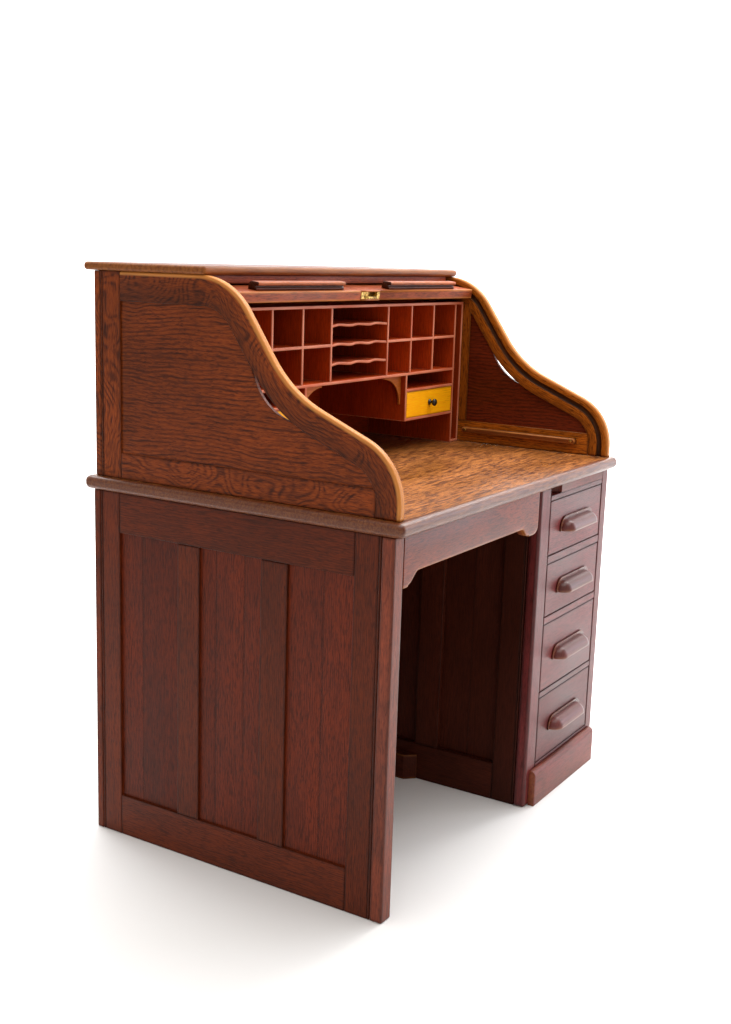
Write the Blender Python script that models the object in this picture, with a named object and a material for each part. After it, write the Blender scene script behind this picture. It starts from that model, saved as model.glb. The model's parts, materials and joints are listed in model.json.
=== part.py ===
"""Single-pedestal roll top desk in stained oak, built as separate boards, drawers and curtain sections.

Axes: X to the right seen from the front, front faces -Y, Z up, floor at Z = 0, metres.
The curtain is modelled rolled fully open; every curtain piece hangs from a pivot on its own hinge axis.
"""

import math

import bmesh
import bpy
from mathutils import Vector

# ---------------------------------------------------------------- overall sizes
BASE_HALF_WIDTH = 0.5015
BASE_HALF_DEPTH = 0.3555
SURFACE_HEIGHT = 0.762
TOP_THICKNESS = 0.0276
UNDER_TOP = SURFACE_HEIGHT - TOP_THICKNESS
WRITING_TOP_HALF_WIDTH = 0.5115
WRITING_TOP_HALF_DEPTH = 0.3755
TOTAL_HEIGHT = 1.187
TOP_ROUNDING = 0.0115
GAP = 0.0003
EASE = 0.0012
CUT_OVER = 0.02
CUT_CLEAR = 0.1

# ---------------------------------------------------------------- base frames and posts
POST_WIDTH = 0.033
FRONT_POST_DEPTH = 0.027
REAR_POST_DEPTH = 0.0165
FRONT_POST_EASE = 0.003
REAR_POST_EASE = 0.002
FRAME_SETBACK = 0.001
FRAME_THICKNESS = 0.021
PANEL_THICKNESS = 0.008
PANEL_TONGUE = 0.006
PANEL_SPANS = ((-0.272, -0.1265), (-0.066, 0.0825), (0.1365, 0.288))
PANEL_NAMES = ("front", "middle", "rear")
BOTTOM_RAIL_TOP = 0.0875
TOP_RAIL_BOTTOM = 0.652
SHEET_SETBACK = 0.0125
SHEET_LAP = 0.012

# ---------------------------------------------------------------- pedestal
PEDESTAL_LEFT = 0.118
LEFT_STILE_INNER = 0.171
RIGHT_STILE_INNER = 0.468
FACE_FRAME_DEPTH = 0.027
POST_ROUNDING = 0.008
SLIDE_OPENING_BOTTOM = 0.7121
DRAWER_OPENINGS = ((0.5755, 0.7005), (0.4345, 0.558), (0.259, 0.418), (0.0895, 0.246))
DRAWER_CLEARANCE = 0.0014
DRAWER_RECESS = 0.001
DRAWER_FRONT_THICKNESS = 0.020
DRAWER_BOX_LENGTH = 0.56
DRAWER_SIDE = 0.010
DRAWER_BOTTOM = 0.006
DRAWER_BOX_INSET = 0.0045
DRAWER_BOX_LOWER = 0.014
PULL_HALF_LENGTH = 0.059
PULL_RADIUS = 0.025
PULL_WALL = 0.0045
PULL_FLANGE_MARGIN = 0.007
PULL_FLANGE_THICKNESS = 0.004
PULL_BELOW_CENTRE = 0.0145
PLINTH_LEFT = 0.140
PLINTH_RIGHT = 0.485
PLINTH_THICKNESS = 0.0147
PLINTH_HEIGHT = 0.083
PLINTH_ROUNDING = 0.0125
SLIDE_LENGTH = 0.42
NOTCH_WIDTH = 0.0535
NOTCH_DEPTH = 0.022
CLEAT_THICKNESS = 0.022
CLEAT_HEIGHT = 0.060
CLEAT_FRONT = -0.075
CLEAT_REAR = 0.300
PEDESTAL_FLOOR = (0.066, 0.078)
PEDESTAL_FLOOR_REAR = 0.3255
BACK_THICKNESS = 0.009
LOWER_BACK_FOOT = 0.05

# ---------------------------------------------------------------- apron over the kneehole
APRON_RIGHT = 0.1065
APRON_THICKNESS = 0.020
APRON_EDGE = 0.6605
APRON_LEFT_DROP = 0.636
APRON_RIGHT_DROP = 0.640
APRON_LEFT_FLAT = 0.018
APRON_LEFT_REACH = 0.056
APRON_RIGHT_REACH = 0.079
APRON_RIGHT_FLAT = 0.052
APRON_LIFT = 0.003
APRON_CORNER = (0.022, 0.018)

# ---------------------------------------------------------------- S-shaped upper sides
SIDE_OUTER = 0.4952
SIDE_THICKNESS = 0.0168
SIDE_INNER = SIDE_OUTER - SIDE_THICKNESS
SIDE_TOP = 1.1702
S_FRONT = -0.3597
S_FOOT = 0.0249
S_LOWER_RADIUS = 0.1217
S_MIDDLE_SLOPE = math.radians(22.96)
S_MIDDLE_RUN = 0.1096
S_HOLLOW_RADIUS = 0.2432
S_UPPER_SLOPE = math.radians(55.5)
S_UPPER_RUN = 0.1004
S_UPPER_RADIUS = 0.1376
CURVED_RAIL_WIDTH = 0.051
SIDE_BACK_STILE = 0.2875
SIDE_TOP_RAIL_BOTTOM = 1.1135
SIDE_BOTTOM_RAIL_TOP = 0.8145
SIDE_PANEL_THICKNESS = 0.008
SIDE_PANEL_TUCK = 0.005
SIDE_STRIP = (0.0227, 0.0627)
SIDE_INSIDE_TOP = 1.1015
CRESCENT_DEPTHS = {"left": 0.0175, "right": 0.0105}
CRESCENT_SPAN = (0.376, 0.764)

S_STEP = 0.016

# ---------------------------------------------------------------- curtain track and curtain
TRACK_OFFSET = 0.0225
GROOVE_WIDTH = 0.012
GROOVE_DEPTH = 0.007
BACK_CHANNEL_Y = 0.325
CORNER_RADIUS = 0.040
LEAD_RAIL_WIDTH = 0.070
LEAD_RAIL_THICKNESS = 0.022
LEAD_RAIL_OPEN_Y = 0.0205
LEAD_RAIL_OPEN_Z = 1.1305
LEAD_RAIL_OPEN_TILT = math.radians(8.0)
LEAD_RAIL_CLOSED_START = 0.0042
CURTAIN_HALF_WIDTH = 0.4772
SECTION_COUNT = 8
SLATS_PER_SECTION = 3
SECTION_PITCH = 0.0690
SECTION_GAP = 0.0018
OPEN_SECTION_STEP = 0.0712
SLAT_THICKNESS = 0.0095
FIRST_OPEN_START_Y = 0.1035
CORNER_SECTIONS = (3, 4)
CORNER_SPREAD = 0.007
LOCK_HALF_WIDTH = 0.038
LOCK_THICKNESS = 0.015
LOCK_DEPTH = 0.030
LOCK_SETBACK = 0.0004
LOCK_LUG_WIDTH = 0.012
LOCK_BITE_DEPTH = 0.010
LOCK_BITE_FLOOR = -0.002
RAIL_EASE = 0.0015
PULL_STRIP_SPAN = (0.092, 0.398)
PULL_STRIP_START = 0.008
PULL_STRIP_EASE = 0.0008
PULL_STRIP_PROFILE = (
    (0.004, 0.0),
    (0.024, 0.0),
    (0.022, 0.0125),
    (0.017, 0.0165),
    (0.002, 0.0165),
    (0.000, 0.0145),
    (0.000, 0.0100),
    (0.006, 0.0090),
    (0.007, 0.0060),
    (0.004, 0.0040),
)
SLAT_CROWN = ((0.0, -0.0035), (0.04, -0.0012), (0.2, 0.0), (0.5, 0.0004), (0.8, 0.0), (0.96, -0.0012))
SLAT_EDGE_DROP = 0.0035

# ---------------------------------------------------------------- top board, fascia, back
TOP_BOARD_HALF_WIDTH = 0.4985
TOP_BOARD_FRONT = 0.0755
TOP_BOARD_BACK = 0.3823
FASCIA_HALF_WIDTH = 0.463
FASCIA_FRONT = 0.0885
FASCIA_THICKNESS = 0.011
FASCIA_BOTTOM = 1.1540
TOP_BOARD_ROUNDING = 0.0065
UPPER_BACK_Y = 0.3425

# ---------------------------------------------------------------- pigeonhole case
CASE_FRONT = 0.042
CASE_BACK = 0.286
CASE_WALL = 0.006
CASE_BACK_THICKNESS = 0.004
CASE_HALF_WIDTH = 0.4745
CASE_TOP = 1.1105
CASE_SIDE = 0.4367
CASE_DIVIDERS = (0.1155, 0.2213, 0.3270)
CASE_MIDDLE_SHELF = 1.0265
CASE_BOTTOM_SHELF = 0.9465
LETTER_SHELVES = (1.0675, 1.0265, 0.9855)
UNIT_WALL = 0.207
UNIT_BOTTOM = 0.8385
UNIT_SHELF = 0.9075
LETTER_WAVE = 0.0055
LETTER_WAVE_START = 0.002
LETTER_WAVE_LOBES = 3
LETTER_WAVE_STEPS = 36
BRACKET_FRONT = 0.056
BRACKET_THICKNESS = 0.006
BRACKET_WIDTH = 0.075
BRACKET_HEIGHT = 0.069
BRACKET_TOE = 0.006
SMALL_DRAWER_CLEARANCE = 0.0012
SMALL_DRAWER_RECESS = 0.001
SMALL_DRAWER_WALL = 0.007
SMALL_DRAWER_FLOOR = 0.005
SMALL_DRAWER_REAR_GAP = 0.004
KNOB_PROFILE = (
    (0.0, 0.0),
    (0.0075, 0.0),
    (0.0072, 0.0014),
    (0.0042, 0.0028),
    (0.0034, 0.0065),
    (0.0058, 0.0095),
    (0.0088, 0.0125),
    (0.0085, 0.0155),
    (0.0062, 0.0178),
    (0.0, 0.019),
)
BATTEN_SPAN = (-0.2795, 0.030)
BATTEN_HEIGHT = 0.793
BATTEN_WIDTH = 0.014
BATTEN_THICKNESS = 0.011
STRIKE_HALF_WIDTH = 0.033
STRIKE_Y = -0.3405
STRIKE_HALF_DEPTH = 0.0075
STRIKE_THICKNESS = 0.002
STRIKE_SLOT_CENTRE = 0.024
STRIKE_SLOT_HALF = (0.006, 0.0035)
BATTEN_EASE = 0.003
DRAWER_FRONT_EASE = 0.0022
ARC_STEP = 15

# ---------------------------------------------------------------- finishes: sRGB colour, roughness, metallic
FINISHES = {
    "dark_oak": ("5A2A14", 0.38, 0.0),
    "dark_oak_panel": ("4C2011", 0.42, 0.0),
    "golden_oak": ("A5672E", 0.35, 0.0),
    "warm_oak": ("8A4A10", 0.42, 0.0),
    "front_oak": ("7B4A48", 0.36, 0.0),
    "case_wood": ("6B2A12", 0.5, 0.0),
    "yellow_ash": ("D98208", 0.45, 0.0),
    "raw_wood": ("A9804F", 0.6, 0.0),
    "ebonised": ("14110F", 0.25, 0.0),
    "worn_brass": ("D8B060", 0.35, 1.0),
}


def srgb(hex_colour):
    """Linear RGBA of a six-digit sRGB colour."""
    channels = [int(hex_colour[i : i + 2], 16) / 255 for i in (0, 2, 4)]
    linear = [c / 12.92 if c <= 0.04045 else ((c + 0.055) / 1.055) ** 2.4 for c in channels]
    return (*linear, 1.0)


def finish(obj, key):
    """Give the object its own Principled material."""
    colour, roughness, metallic = FINISHES[key]
    material = bpy.data.materials.new(obj.name + "_" + key)
    material.use_nodes = True
    shader = material.node_tree.nodes["Principled BSDF"]
    shader.inputs["Base Color"].default_value = srgb(colour)
    shader.inputs["Roughness"].default_value = roughness
    shader.inputs["Metallic"].default_value = metallic
    obj.data.materials.append(material)
    return obj


def object_from(name, mesh_builder):
    """New object whose bmesh is filled by mesh_builder, with all faces turned outwards."""
    mesh = bpy.data.meshes.new(name)
    bm = bmesh.new()
    mesh_builder(bm)
    bmesh.ops.recalc_face_normals(bm, faces=bm.faces)
    bm.to_mesh(mesh)
    bm.free()
    obj = bpy.data.objects.new(name, mesh)
    bpy.context.scene.collection.objects.link(obj)
    return obj


def add_prism(bm, outline, axis, low, high):
    """Extrude a closed 2D outline along X, Y or Z."""
    place = {
        "X": lambda a, b, t: (t, a, b),
        "Y": lambda a, b, t: (a, t, b),
        "Z": lambda a, b, t: (a, b, t),
    }[axis]
    first = [bm.verts.new(place(a, b, low)) for a, b in outline]
    second = [bm.verts.new(place(a, b, high)) for a, b in outline]
    bm.faces.new(first)
    bm.faces.new(list(reversed(second)))
    count = len(outline)
    for i in range(count):
        j = (i + 1) % count
        bm.faces.new((first[j], first[i], second[i], second[j]))


def rectangle(a0, a1, b0, b1):
    return [(a0, b0), (a1, b0), (a1, b1), (a0, b1)]


def add_box(bm, x, y, z):
    add_prism(bm, rectangle(min(x), max(x), min(y), max(y)), "Z", min(z), max(z))


def prism(name, outline, axis, low, high):
    return object_from(name, lambda bm: add_prism(bm, outline, axis, min(low, high), max(low, high)))


def box(name, x, y, z):
    return object_from(name, lambda bm: add_box(bm, x, y, z))


def boxes(name, spans):
    """Several separate boxes in one object; only used as a cutter."""

    def build(bm):
        for x, y, z in spans:
            add_box(bm, x, y, z)

    return object_from(name, build)


def ease(obj, width=EASE, segments=1, angle=40.0):
    """Break the sharp edges, as sandpaper or a roundover does."""
    modifier = obj.modifiers.new("eased_edges", "BEVEL")
    modifier.width = width
    modifier.segments = segments
    modifier.limit_method = "ANGLE"
    modifier.angle_limit = math.radians(angle)
    return obj


def combine(obj, operand, operation):
    operand.hide_render = True
    operand.display_type = "WIRE"
    modifier = obj.modifiers.new(operation.lower(), "BOOLEAN")
    modifier.operation = operation
    modifier.solver = "EXACT"
    modifier.object = operand
    return obj


def cut(obj, cutter):
    return combine(obj, cutter, "DIFFERENCE")


def smooth(obj):
    for polygon in obj.data.polygons:
        polygon.use_smooth = True
    return obj


def pivot(name, location):
    empty = bpy.data.objects.new(name, None)
    empty.empty_display_size = 0.02
    empty.location = location
    bpy.context.scene.collection.objects.link(empty)
    return empty


def hang(obj, parent):
    """Parent the piece to its pivot without moving it."""
    obj.parent = parent
    obj.location = Vector(obj.location) - Vector(parent.location)
    return obj


# ---------------------------------------------------------------- S profile and curtain track
class Walk:
    """A path of straight runs and arcs in the YZ plane; the heading is measured from +Y towards +Z."""

    def __init__(self, y, z, heading):
        self.pieces = []
        self.y = y
        self.z = z
        self.heading = heading
        self.length = 0.0

    def run(self, length):
        self.pieces.append((self.length, length, self.y, self.z, self.heading, 0.0))
        self.y += length * math.cos(self.heading)
        self.z += length * math.sin(self.heading)
        self.length += length

    def turn(self, new_heading, radius):
        change = new_heading - self.heading
        length = abs(change) * radius
        self.pieces.append((self.length, length, self.y, self.z, self.heading, change / length))
        self.y, self.z, self.heading = self.at(self.length + length)
        self.length += length

    def at(self, distance):
        """Position and heading at a distance along the path."""
        piece = next(p for p in reversed(self.pieces) if distance >= p[0] - 1e-9)
        start, _, y, z, heading, curvature = piece
        along = distance - start
        if curvature == 0.0:
            return y + along * math.cos(heading), z + along * math.sin(heading), heading
        after = heading + curvature * along
        y += (math.sin(after) - math.sin(heading)) / curvature
        z -= (math.cos(after) - math.cos(heading)) / curvature
        return y, z, after

    def points(self, start, end, step):
        count = max(2, math.ceil((end - start) / step) + 1)
        return [self.at(start + (end - start) * i / (count - 1))[:2] for i in range(count)]


def s_path(offset):
    """The S profile moved inwards by offset, from the writing surface to the level top."""
    path = Walk(S_FRONT + offset, SURFACE_HEIGHT, math.pi / 2)
    path.run(S_FOOT)
    path.turn(S_MIDDLE_SLOPE, S_LOWER_RADIUS - offset)
    path.run(S_MIDDLE_RUN)
    path.turn(S_UPPER_SLOPE, S_HOLLOW_RADIUS + offset)
    path.run(S_UPPER_RUN)
    path.turn(0.0, S_UPPER_RADIUS - offset)
    return path


def track_path():
    """The middle of the curtain groove: the S, then back under the top board and down behind the case."""
    path = s_path(TRACK_OFFSET)
    path.run(BACK_CHANNEL_Y - CORNER_RADIUS - path.y)
    path.turn(-math.pi / 2, CORNER_RADIUS)
    path.run(path.z - SURFACE_HEIGHT - 0.004)
    return path


def side_outline():
    """Outer outline of an upper side, in Y and Z."""
    foot = SURFACE_HEIGHT + GAP
    path = s_path(0.0)
    points = path.points(0.0, path.length, S_STEP)
    points[0] = (points[0][0], foot)
    return points + [(BASE_HALF_DEPTH, SIDE_TOP), (BASE_HALF_DEPTH, foot)]


def clipped_s(offset, bottom, top, rear, inset=None):
    """Area behind the S offset inwards, between two heights and in front of a rear line."""
    path = s_path(offset)
    samples = [path.at(path.length * i / 60) for i in range(61)]
    points = []
    for index, (y, z, heading) in enumerate(samples):
        push = inset(index / 60) if inset else 0.0
        y += push * math.sin(heading)
        z -= push * math.cos(heading)
        if bottom < z < top and y < rear:
            points.append((y, z))
    points = points[::2] if (points[-1] == points[::2][-1]) else points[::2] + points[-1:]
    return [(points[0][0], bottom)] + points + [(points[-1][0] + 0.004, top), (rear, top), (rear, bottom)]


def groove_outline(start, end, width):
    """Ribbon of the given width along the track, as one closed outline."""
    track = track_path()
    count = math.ceil((end - start) / S_STEP) + 1
    left = []
    right = []
    for i in range(count):
        y, z, heading = track.at(start + (end - start) * i / (count - 1))
        left.append((y - math.sin(heading) * width / 2, z + math.cos(heading) * width / 2))
        right.append((y + math.sin(heading) * width / 2, z - math.cos(heading) * width / 2))
    return left + right[::-1]


# ---------------------------------------------------------------- base
def frame_openings(centre_x):
    """Boxes of the three openings of a framed side, long enough along X to cut right through."""
    across = (centre_x - CUT_CLEAR, centre_x + CUT_CLEAR)
    return [(across, span, (BOTTOM_RAIL_TOP, TOP_RAIL_BOTTOM)) for span in PANEL_SPANS]


def panel_frame(name, outer, inner, y_span, z_span, key):
    """Frame with three openings, and grooves round them that hold the panels."""
    low, high = sorted((outer, inner))
    middle = (low + high) / 2
    frame = ease(box(name, (low, high), y_span, z_span))
    cut(frame, boxes(name + "_openings", frame_openings(middle)))
    reach = PANEL_TONGUE + GAP
    half = PANEL_THICKNESS / 2 + GAP
    grooves = [
        (
            (middle - half, middle + half),
            (span[0] - reach, span[1] + reach),
            (BOTTOM_RAIL_TOP - reach, TOP_RAIL_BOTTOM + reach),
        )
        for span in PANEL_SPANS
    ]
    cut(frame, boxes(name + "_grooves", grooves))
    return finish(frame, key)


def frame_panel(name, outer, inner, span, key):
    middle = (outer + inner) / 2
    half = PANEL_THICKNESS / 2
    y_span = (span[0] - PANEL_TONGUE, span[1] + PANEL_TONGUE)
    z_span = (BOTTOM_RAIL_TOP - PANEL_TONGUE, TOP_RAIL_BOTTOM + PANEL_TONGUE)
    return finish(box(name, (middle - half, middle + half), y_span, z_span), key)


def build_ends():
    """Left end, right end of the pedestal and the pedestal's kneehole side."""
    ground = (0.0, UNDER_TOP - GAP)
    front_inner = -BASE_HALF_DEPTH + FRONT_POST_DEPTH
    rear_inner = BASE_HALF_DEPTH - REAR_POST_DEPTH
    left = -BASE_HALF_WIDTH
    post_x = (left, left + POST_WIDTH)
    front_post = box("left_front_post", post_x, (-BASE_HALF_DEPTH, front_inner), ground)
    finish(ease(front_post, FRONT_POST_EASE, 2), "dark_oak")
    rear_post = box("left_rear_post", post_x, (rear_inner, BASE_HALF_DEPTH), ground)
    finish(ease(rear_post, REAR_POST_EASE), "dark_oak")
    between = (front_inner + GAP, rear_inner - GAP)
    outer = left + FRAME_SETBACK
    panel_frame("left_end_frame", outer, outer + FRAME_THICKNESS, between, ground, "dark_oak")
    for span, place in zip(PANEL_SPANS, PANEL_NAMES):
        frame_panel("left_end_panel_" + place, outer, outer + FRAME_THICKNESS, span, "dark_oak_panel")

    outer = BASE_HALF_WIDTH - FRAME_SETBACK
    to_back = (front_inner + GAP, BASE_HALF_DEPTH)
    right = ease(box("right_end_frame", (outer - FRAME_THICKNESS, outer), to_back, ground))
    cut(right, boxes("right_end_frame_openings", frame_openings(outer)))
    rebate = sheet_span(GAP)
    rebate_x = (outer - FRAME_THICKNESS - CUT_OVER, outer - SHEET_SETBACK)
    cut(right, box("right_end_frame_rebate", rebate_x, *rebate))
    finish(right, "dark_oak")
    sheet_face = outer - SHEET_SETBACK - GAP
    sheet = box("right_end_panel", (sheet_face - PANEL_THICKNESS, sheet_face), *sheet_span(0.0))
    finish(sheet, "dark_oak_panel")

    outer = PEDESTAL_LEFT + 2 * FRAME_SETBACK
    inner_side = ease(box("pedestal_inner_frame", (outer, outer + FRAME_THICKNESS), between, ground))
    cut(inner_side, boxes("pedestal_inner_frame_openings", frame_openings(outer)))
    rebate_x = (outer + SHEET_SETBACK, outer + FRAME_THICKNESS + CUT_OVER)
    cut(inner_side, box("pedestal_inner_rebate", rebate_x, *rebate))
    finish(inner_side, "dark_oak")
    sheet_face = outer + SHEET_SETBACK + GAP
    sheet_x = (sheet_face, sheet_face + PANEL_THICKNESS)
    finish(box("pedestal_inner_panel", sheet_x, *sheet_span(0.0)), "dark_oak_panel")


def sheet_span(clearance):
    """Y and Z extents of a sheet that lies in a rebate behind all three openings."""
    reach = SHEET_LAP + clearance
    y_span = (PANEL_SPANS[0][0] - reach, PANEL_SPANS[2][1] + reach)
    return y_span, (BOTTOM_RAIL_TOP - reach, TOP_RAIL_BOTTOM + reach)


def build_pedestal():
    front = -BASE_HALF_DEPTH
    back = front + FACE_FRAME_DEPTH
    rounded = [
        (
            PEDESTAL_LEFT + POST_ROUNDING * (1 - math.cos(math.radians(a))),
            front + POST_ROUNDING * (1 - math.sin(math.radians(a))),
        )
        for a in range(0, 91, ARC_STEP)
    ]
    outline = [(PEDESTAL_LEFT, back)] + rounded + [(BASE_HALF_WIDTH, front), (BASE_HALF_WIDTH, back)]
    face = prism("pedestal_face_frame", outline, "Z", 0.0, UNDER_TOP - GAP)
    opening_x = (LEFT_STILE_INNER, RIGHT_STILE_INNER)
    depth = (front - CUT_OVER, back + CUT_OVER)
    spans = [(opening_x, depth, z) for z in DRAWER_OPENINGS]
    spans.append((opening_x, depth, (SLIDE_OPENING_BOTTOM, UNDER_TOP + CUT_OVER)))
    cut(face, boxes("pedestal_face_openings", spans))
    finish(face, "front_oak")

    inner = PEDESTAL_LEFT + 2 * FRAME_SETBACK + FRAME_THICKNESS + GAP
    outer = BASE_HALF_WIDTH - FRAME_SETBACK - FRAME_THICKNESS - GAP
    bottom = box("pedestal_bottom", (inner, outer), (back + GAP, PEDESTAL_FLOOR_REAR), PEDESTAL_FLOOR)
    finish(bottom, "raw_wood")

    top_z = PLINTH_HEIGHT
    plinth_front = front - GAP - PLINTH_THICKNESS
    arc = [
        (
            plinth_front + PLINTH_ROUNDING * (1 - math.cos(math.radians(a))),
            top_z - PLINTH_ROUNDING * (1 - math.sin(math.radians(a))),
        )
        for a in range(0, 91, ARC_STEP)
    ]
    profile = [(front - GAP, 0.0), (plinth_front, 0.0)] + arc + [(front - GAP, top_z)]
    plinth = prism("pedestal_plinth", profile, "X", PLINTH_LEFT, PLINTH_RIGHT)
    finish(plinth, "front_oak")

    cleat_x = PEDESTAL_LEFT + 2 * FRAME_SETBACK - GAP
    cleat = [
        (cleat_x, CLEAT_FRONT),
        (cleat_x, CLEAT_REAR),
        (cleat_x - CLEAT_THICKNESS, CLEAT_REAR),
        (cleat_x - CLEAT_THICKNESS, CLEAT_FRONT + CLEAT_THICKNESS),
    ]
    finish(ease(prism("pedestal_inner_cleat", cleat, "Z", 0.0, CLEAT_HEIGHT)), "dark_oak")

    left_inner = -BASE_HALF_WIDTH + POST_WIDTH + GAP
    back_y = BASE_HALF_DEPTH - REAR_POST_DEPTH + GAP
    back_z = (LOWER_BACK_FOOT, UNDER_TOP - GAP)
    lower_back = box("lower_back_panel", (left_inner, outer), (back_y, back_y + BACK_THICKNESS), back_z)
    finish(lower_back, "dark_oak_panel")


def lobe(x0, x1, low, high, steps=6):
    """Quarter wave from a low point to a high one, used for the ogee ends of the apron."""
    points = []
    for i in range(steps + 1):
        t = i / steps
        blend = 0.5 - 0.5 * math.cos(math.pi * t)
        points.append((x0 + (x1 - x0) * t, low + (high - low) * blend))
    return points


def build_apron():
    left = -BASE_HALF_WIDTH + POST_WIDTH + GAP
    outline = [(left, APRON_LEFT_DROP)]
    outline += lobe(left + APRON_LEFT_FLAT, left + APRON_LEFT_REACH, APRON_LEFT_DROP + APRON_LIFT, APRON_EDGE)
    lobe_left = APRON_RIGHT - APRON_RIGHT_REACH
    outline += lobe(lobe_left, APRON_RIGHT - APRON_RIGHT_FLAT, APRON_EDGE, APRON_RIGHT_DROP + APRON_LIFT)
    across, up = APRON_CORNER
    for a in range(0, 91, ARC_STEP):
        angle = math.radians(a)
        x = APRON_RIGHT - across + across * math.sin(angle)
        outline.append((x, APRON_RIGHT_DROP + up * (1 - math.cos(angle))))
    outline += [(APRON_RIGHT, UNDER_TOP - GAP), (left, UNDER_TOP - GAP)]
    apron = prism("kneehole_apron", outline, "Y", -BASE_HALF_DEPTH, -BASE_HALF_DEPTH + APRON_THICKNESS)
    finish(apron, "front_oak")


def build_writing_top():
    half_width = WRITING_TOP_HALF_WIDTH
    half_depth = WRITING_TOP_HALF_DEPTH
    top_z = (UNDER_TOP, SURFACE_HEIGHT)
    top = box("writing_top", (-half_width, half_width), (-half_depth, half_depth), top_z)
    ease(top, TOP_ROUNDING, 4)
    pocket_x = (-STRIKE_HALF_WIDTH - GAP, STRIKE_HALF_WIDTH + GAP)
    pocket_y = (STRIKE_Y - STRIKE_HALF_DEPTH - GAP, STRIKE_Y + STRIKE_HALF_DEPTH + GAP)
    pocket_z = (SURFACE_HEIGHT - STRIKE_THICKNESS - 2 * GAP, SURFACE_HEIGHT + CUT_OVER)
    cut(top, box("strike_pocket", pocket_x, pocket_y, pocket_z))
    finish(top, "golden_oak")
    plate_z = (SURFACE_HEIGHT - STRIKE_THICKNESS - GAP, SURFACE_HEIGHT - GAP)
    plate_x = (-STRIKE_HALF_WIDTH, STRIKE_HALF_WIDTH)
    plate_y = (STRIKE_Y - STRIKE_HALF_DEPTH, STRIKE_Y + STRIKE_HALF_DEPTH)
    strike = box("lock_strike", plate_x, plate_y, plate_z)
    slots = []
    half_x, half_y = STRIKE_SLOT_HALF
    for side in (-1, 1):
        centre = side * STRIKE_SLOT_CENTRE
        slot_z = (UNDER_TOP, SURFACE_HEIGHT + CUT_OVER)
        slots.append(((centre - half_x, centre + half_x), (STRIKE_Y - half_y, STRIKE_Y + half_y), slot_z))
    cut(strike, boxes("strike_slots", slots))
    finish(strike, "worn_brass")


# ---------------------------------------------------------------- drawers
def add_tray(bm, x, y, z, wall, floor):
    """Open-topped box as one solid."""
    x0, x1 = x
    y0, y1 = y
    z0, z1 = z
    outer = [(x0, y0), (x1, y0), (x1, y1), (x0, y1)]
    inner = [(x0 + wall, y0 + wall), (x1 - wall, y0 + wall), (x1 - wall, y1 - wall), (x0 + wall, y1 - wall)]
    rings = [
        [bm.verts.new((a, b, z0)) for a, b in outer],
        [bm.verts.new((a, b, z1)) for a, b in outer],
        [bm.verts.new((a, b, z1)) for a, b in inner],
        [bm.verts.new((a, b, z0 + floor)) for a, b in inner],
    ]
    bm.faces.new(rings[0])
    for low, high in zip(rings, rings[1:]):
        for i in range(4):
            j = (i + 1) % 4
            bm.faces.new((low[i], low[j], high[j], high[i]))
    bm.faces.new(rings[3])


def add_hood(bm, half_length, radius, wall):
    """Quarter of a round-ended cylinder, hollow, open below and behind; its back lies on Y = 0."""
    arc_steps = 6
    rise_steps = 7

    def surface(r):
        rows = []
        for k in range(rise_steps + 1):
            lift = math.radians(90 * k / rise_steps)
            flat = r * math.cos(lift)
            row = []
            for i in range(arc_steps + 1):
                a = math.radians(90 * i / arc_steps)
                row.append((-half_length - flat * math.cos(a), -flat * math.sin(a), r * math.sin(lift)))
            for i in range(arc_steps, -1, -1):
                a = math.radians(90 * i / arc_steps)
                row.append((half_length + flat * math.cos(a), -flat * math.sin(a), r * math.sin(lift)))
            rows.append([bm.verts.new(point) for point in row])
        return rows

    outer = surface(radius)
    inner = surface(radius - wall)
    columns = len(outer[0])
    for rows in (outer, inner):
        for low, high in zip(rows, rows[1:]):
            for i in range(columns - 1):
                bm.faces.new((low[i], low[i + 1], high[i + 1], high[i]))
    for i in range(columns - 1):
        bm.faces.new((outer[0][i], outer[0][i + 1], inner[0][i + 1], inner[0][i]))
    for k in range(rise_steps):
        bm.faces.new((outer[k][0], outer[k + 1][0], inner[k + 1][0], inner[k][0]))
        bm.faces.new((outer[k][-1], outer[k + 1][-1], inner[k + 1][-1], inner[k][-1]))
    left = arc_steps
    bm.faces.new((outer[-1][left], outer[-1][left + 1], inner[-1][left + 1], inner[-1][left]))
    bmesh.ops.remove_doubles(bm, verts=bm.verts, dist=1e-6)


def build_pull(name, x, y, z):
    """Wooden cup pull: a thin arched backplate and a hollow hood, in one piece."""
    reach = PULL_HALF_LENGTH + PULL_RADIUS + PULL_FLANGE_MARGIN
    rise = PULL_RADIUS + PULL_FLANGE_MARGIN
    outline = [(-reach, 0.0), (reach, 0.0)]
    corner = PULL_RADIUS
    for side in (1, -1):
        arc = []
        for a in range(0, 91, ARC_STEP):
            x_corner = side * (reach - corner + corner * math.cos(math.radians(a)))
            z_corner = rise - corner + corner * math.sin(math.radians(a))
            arc.append((x_corner, z_corner))
        outline += arc if side == 1 else arc[::-1]
    plate = prism(name, outline, "Y", -PULL_FLANGE_THICKNESS, 0.0)
    hood = object_from(name + "_hood", lambda bm: add_hood(bm, PULL_HALF_LENGTH, PULL_RADIUS, PULL_WALL))
    for obj, shift in ((plate, 0.0), (hood, 0.0015 - PULL_FLANGE_THICKNESS)):
        obj.location = (x, y - GAP + shift, z)
    combine(plate, hood, "UNION")
    return finish(plate, "front_oak")


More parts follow.
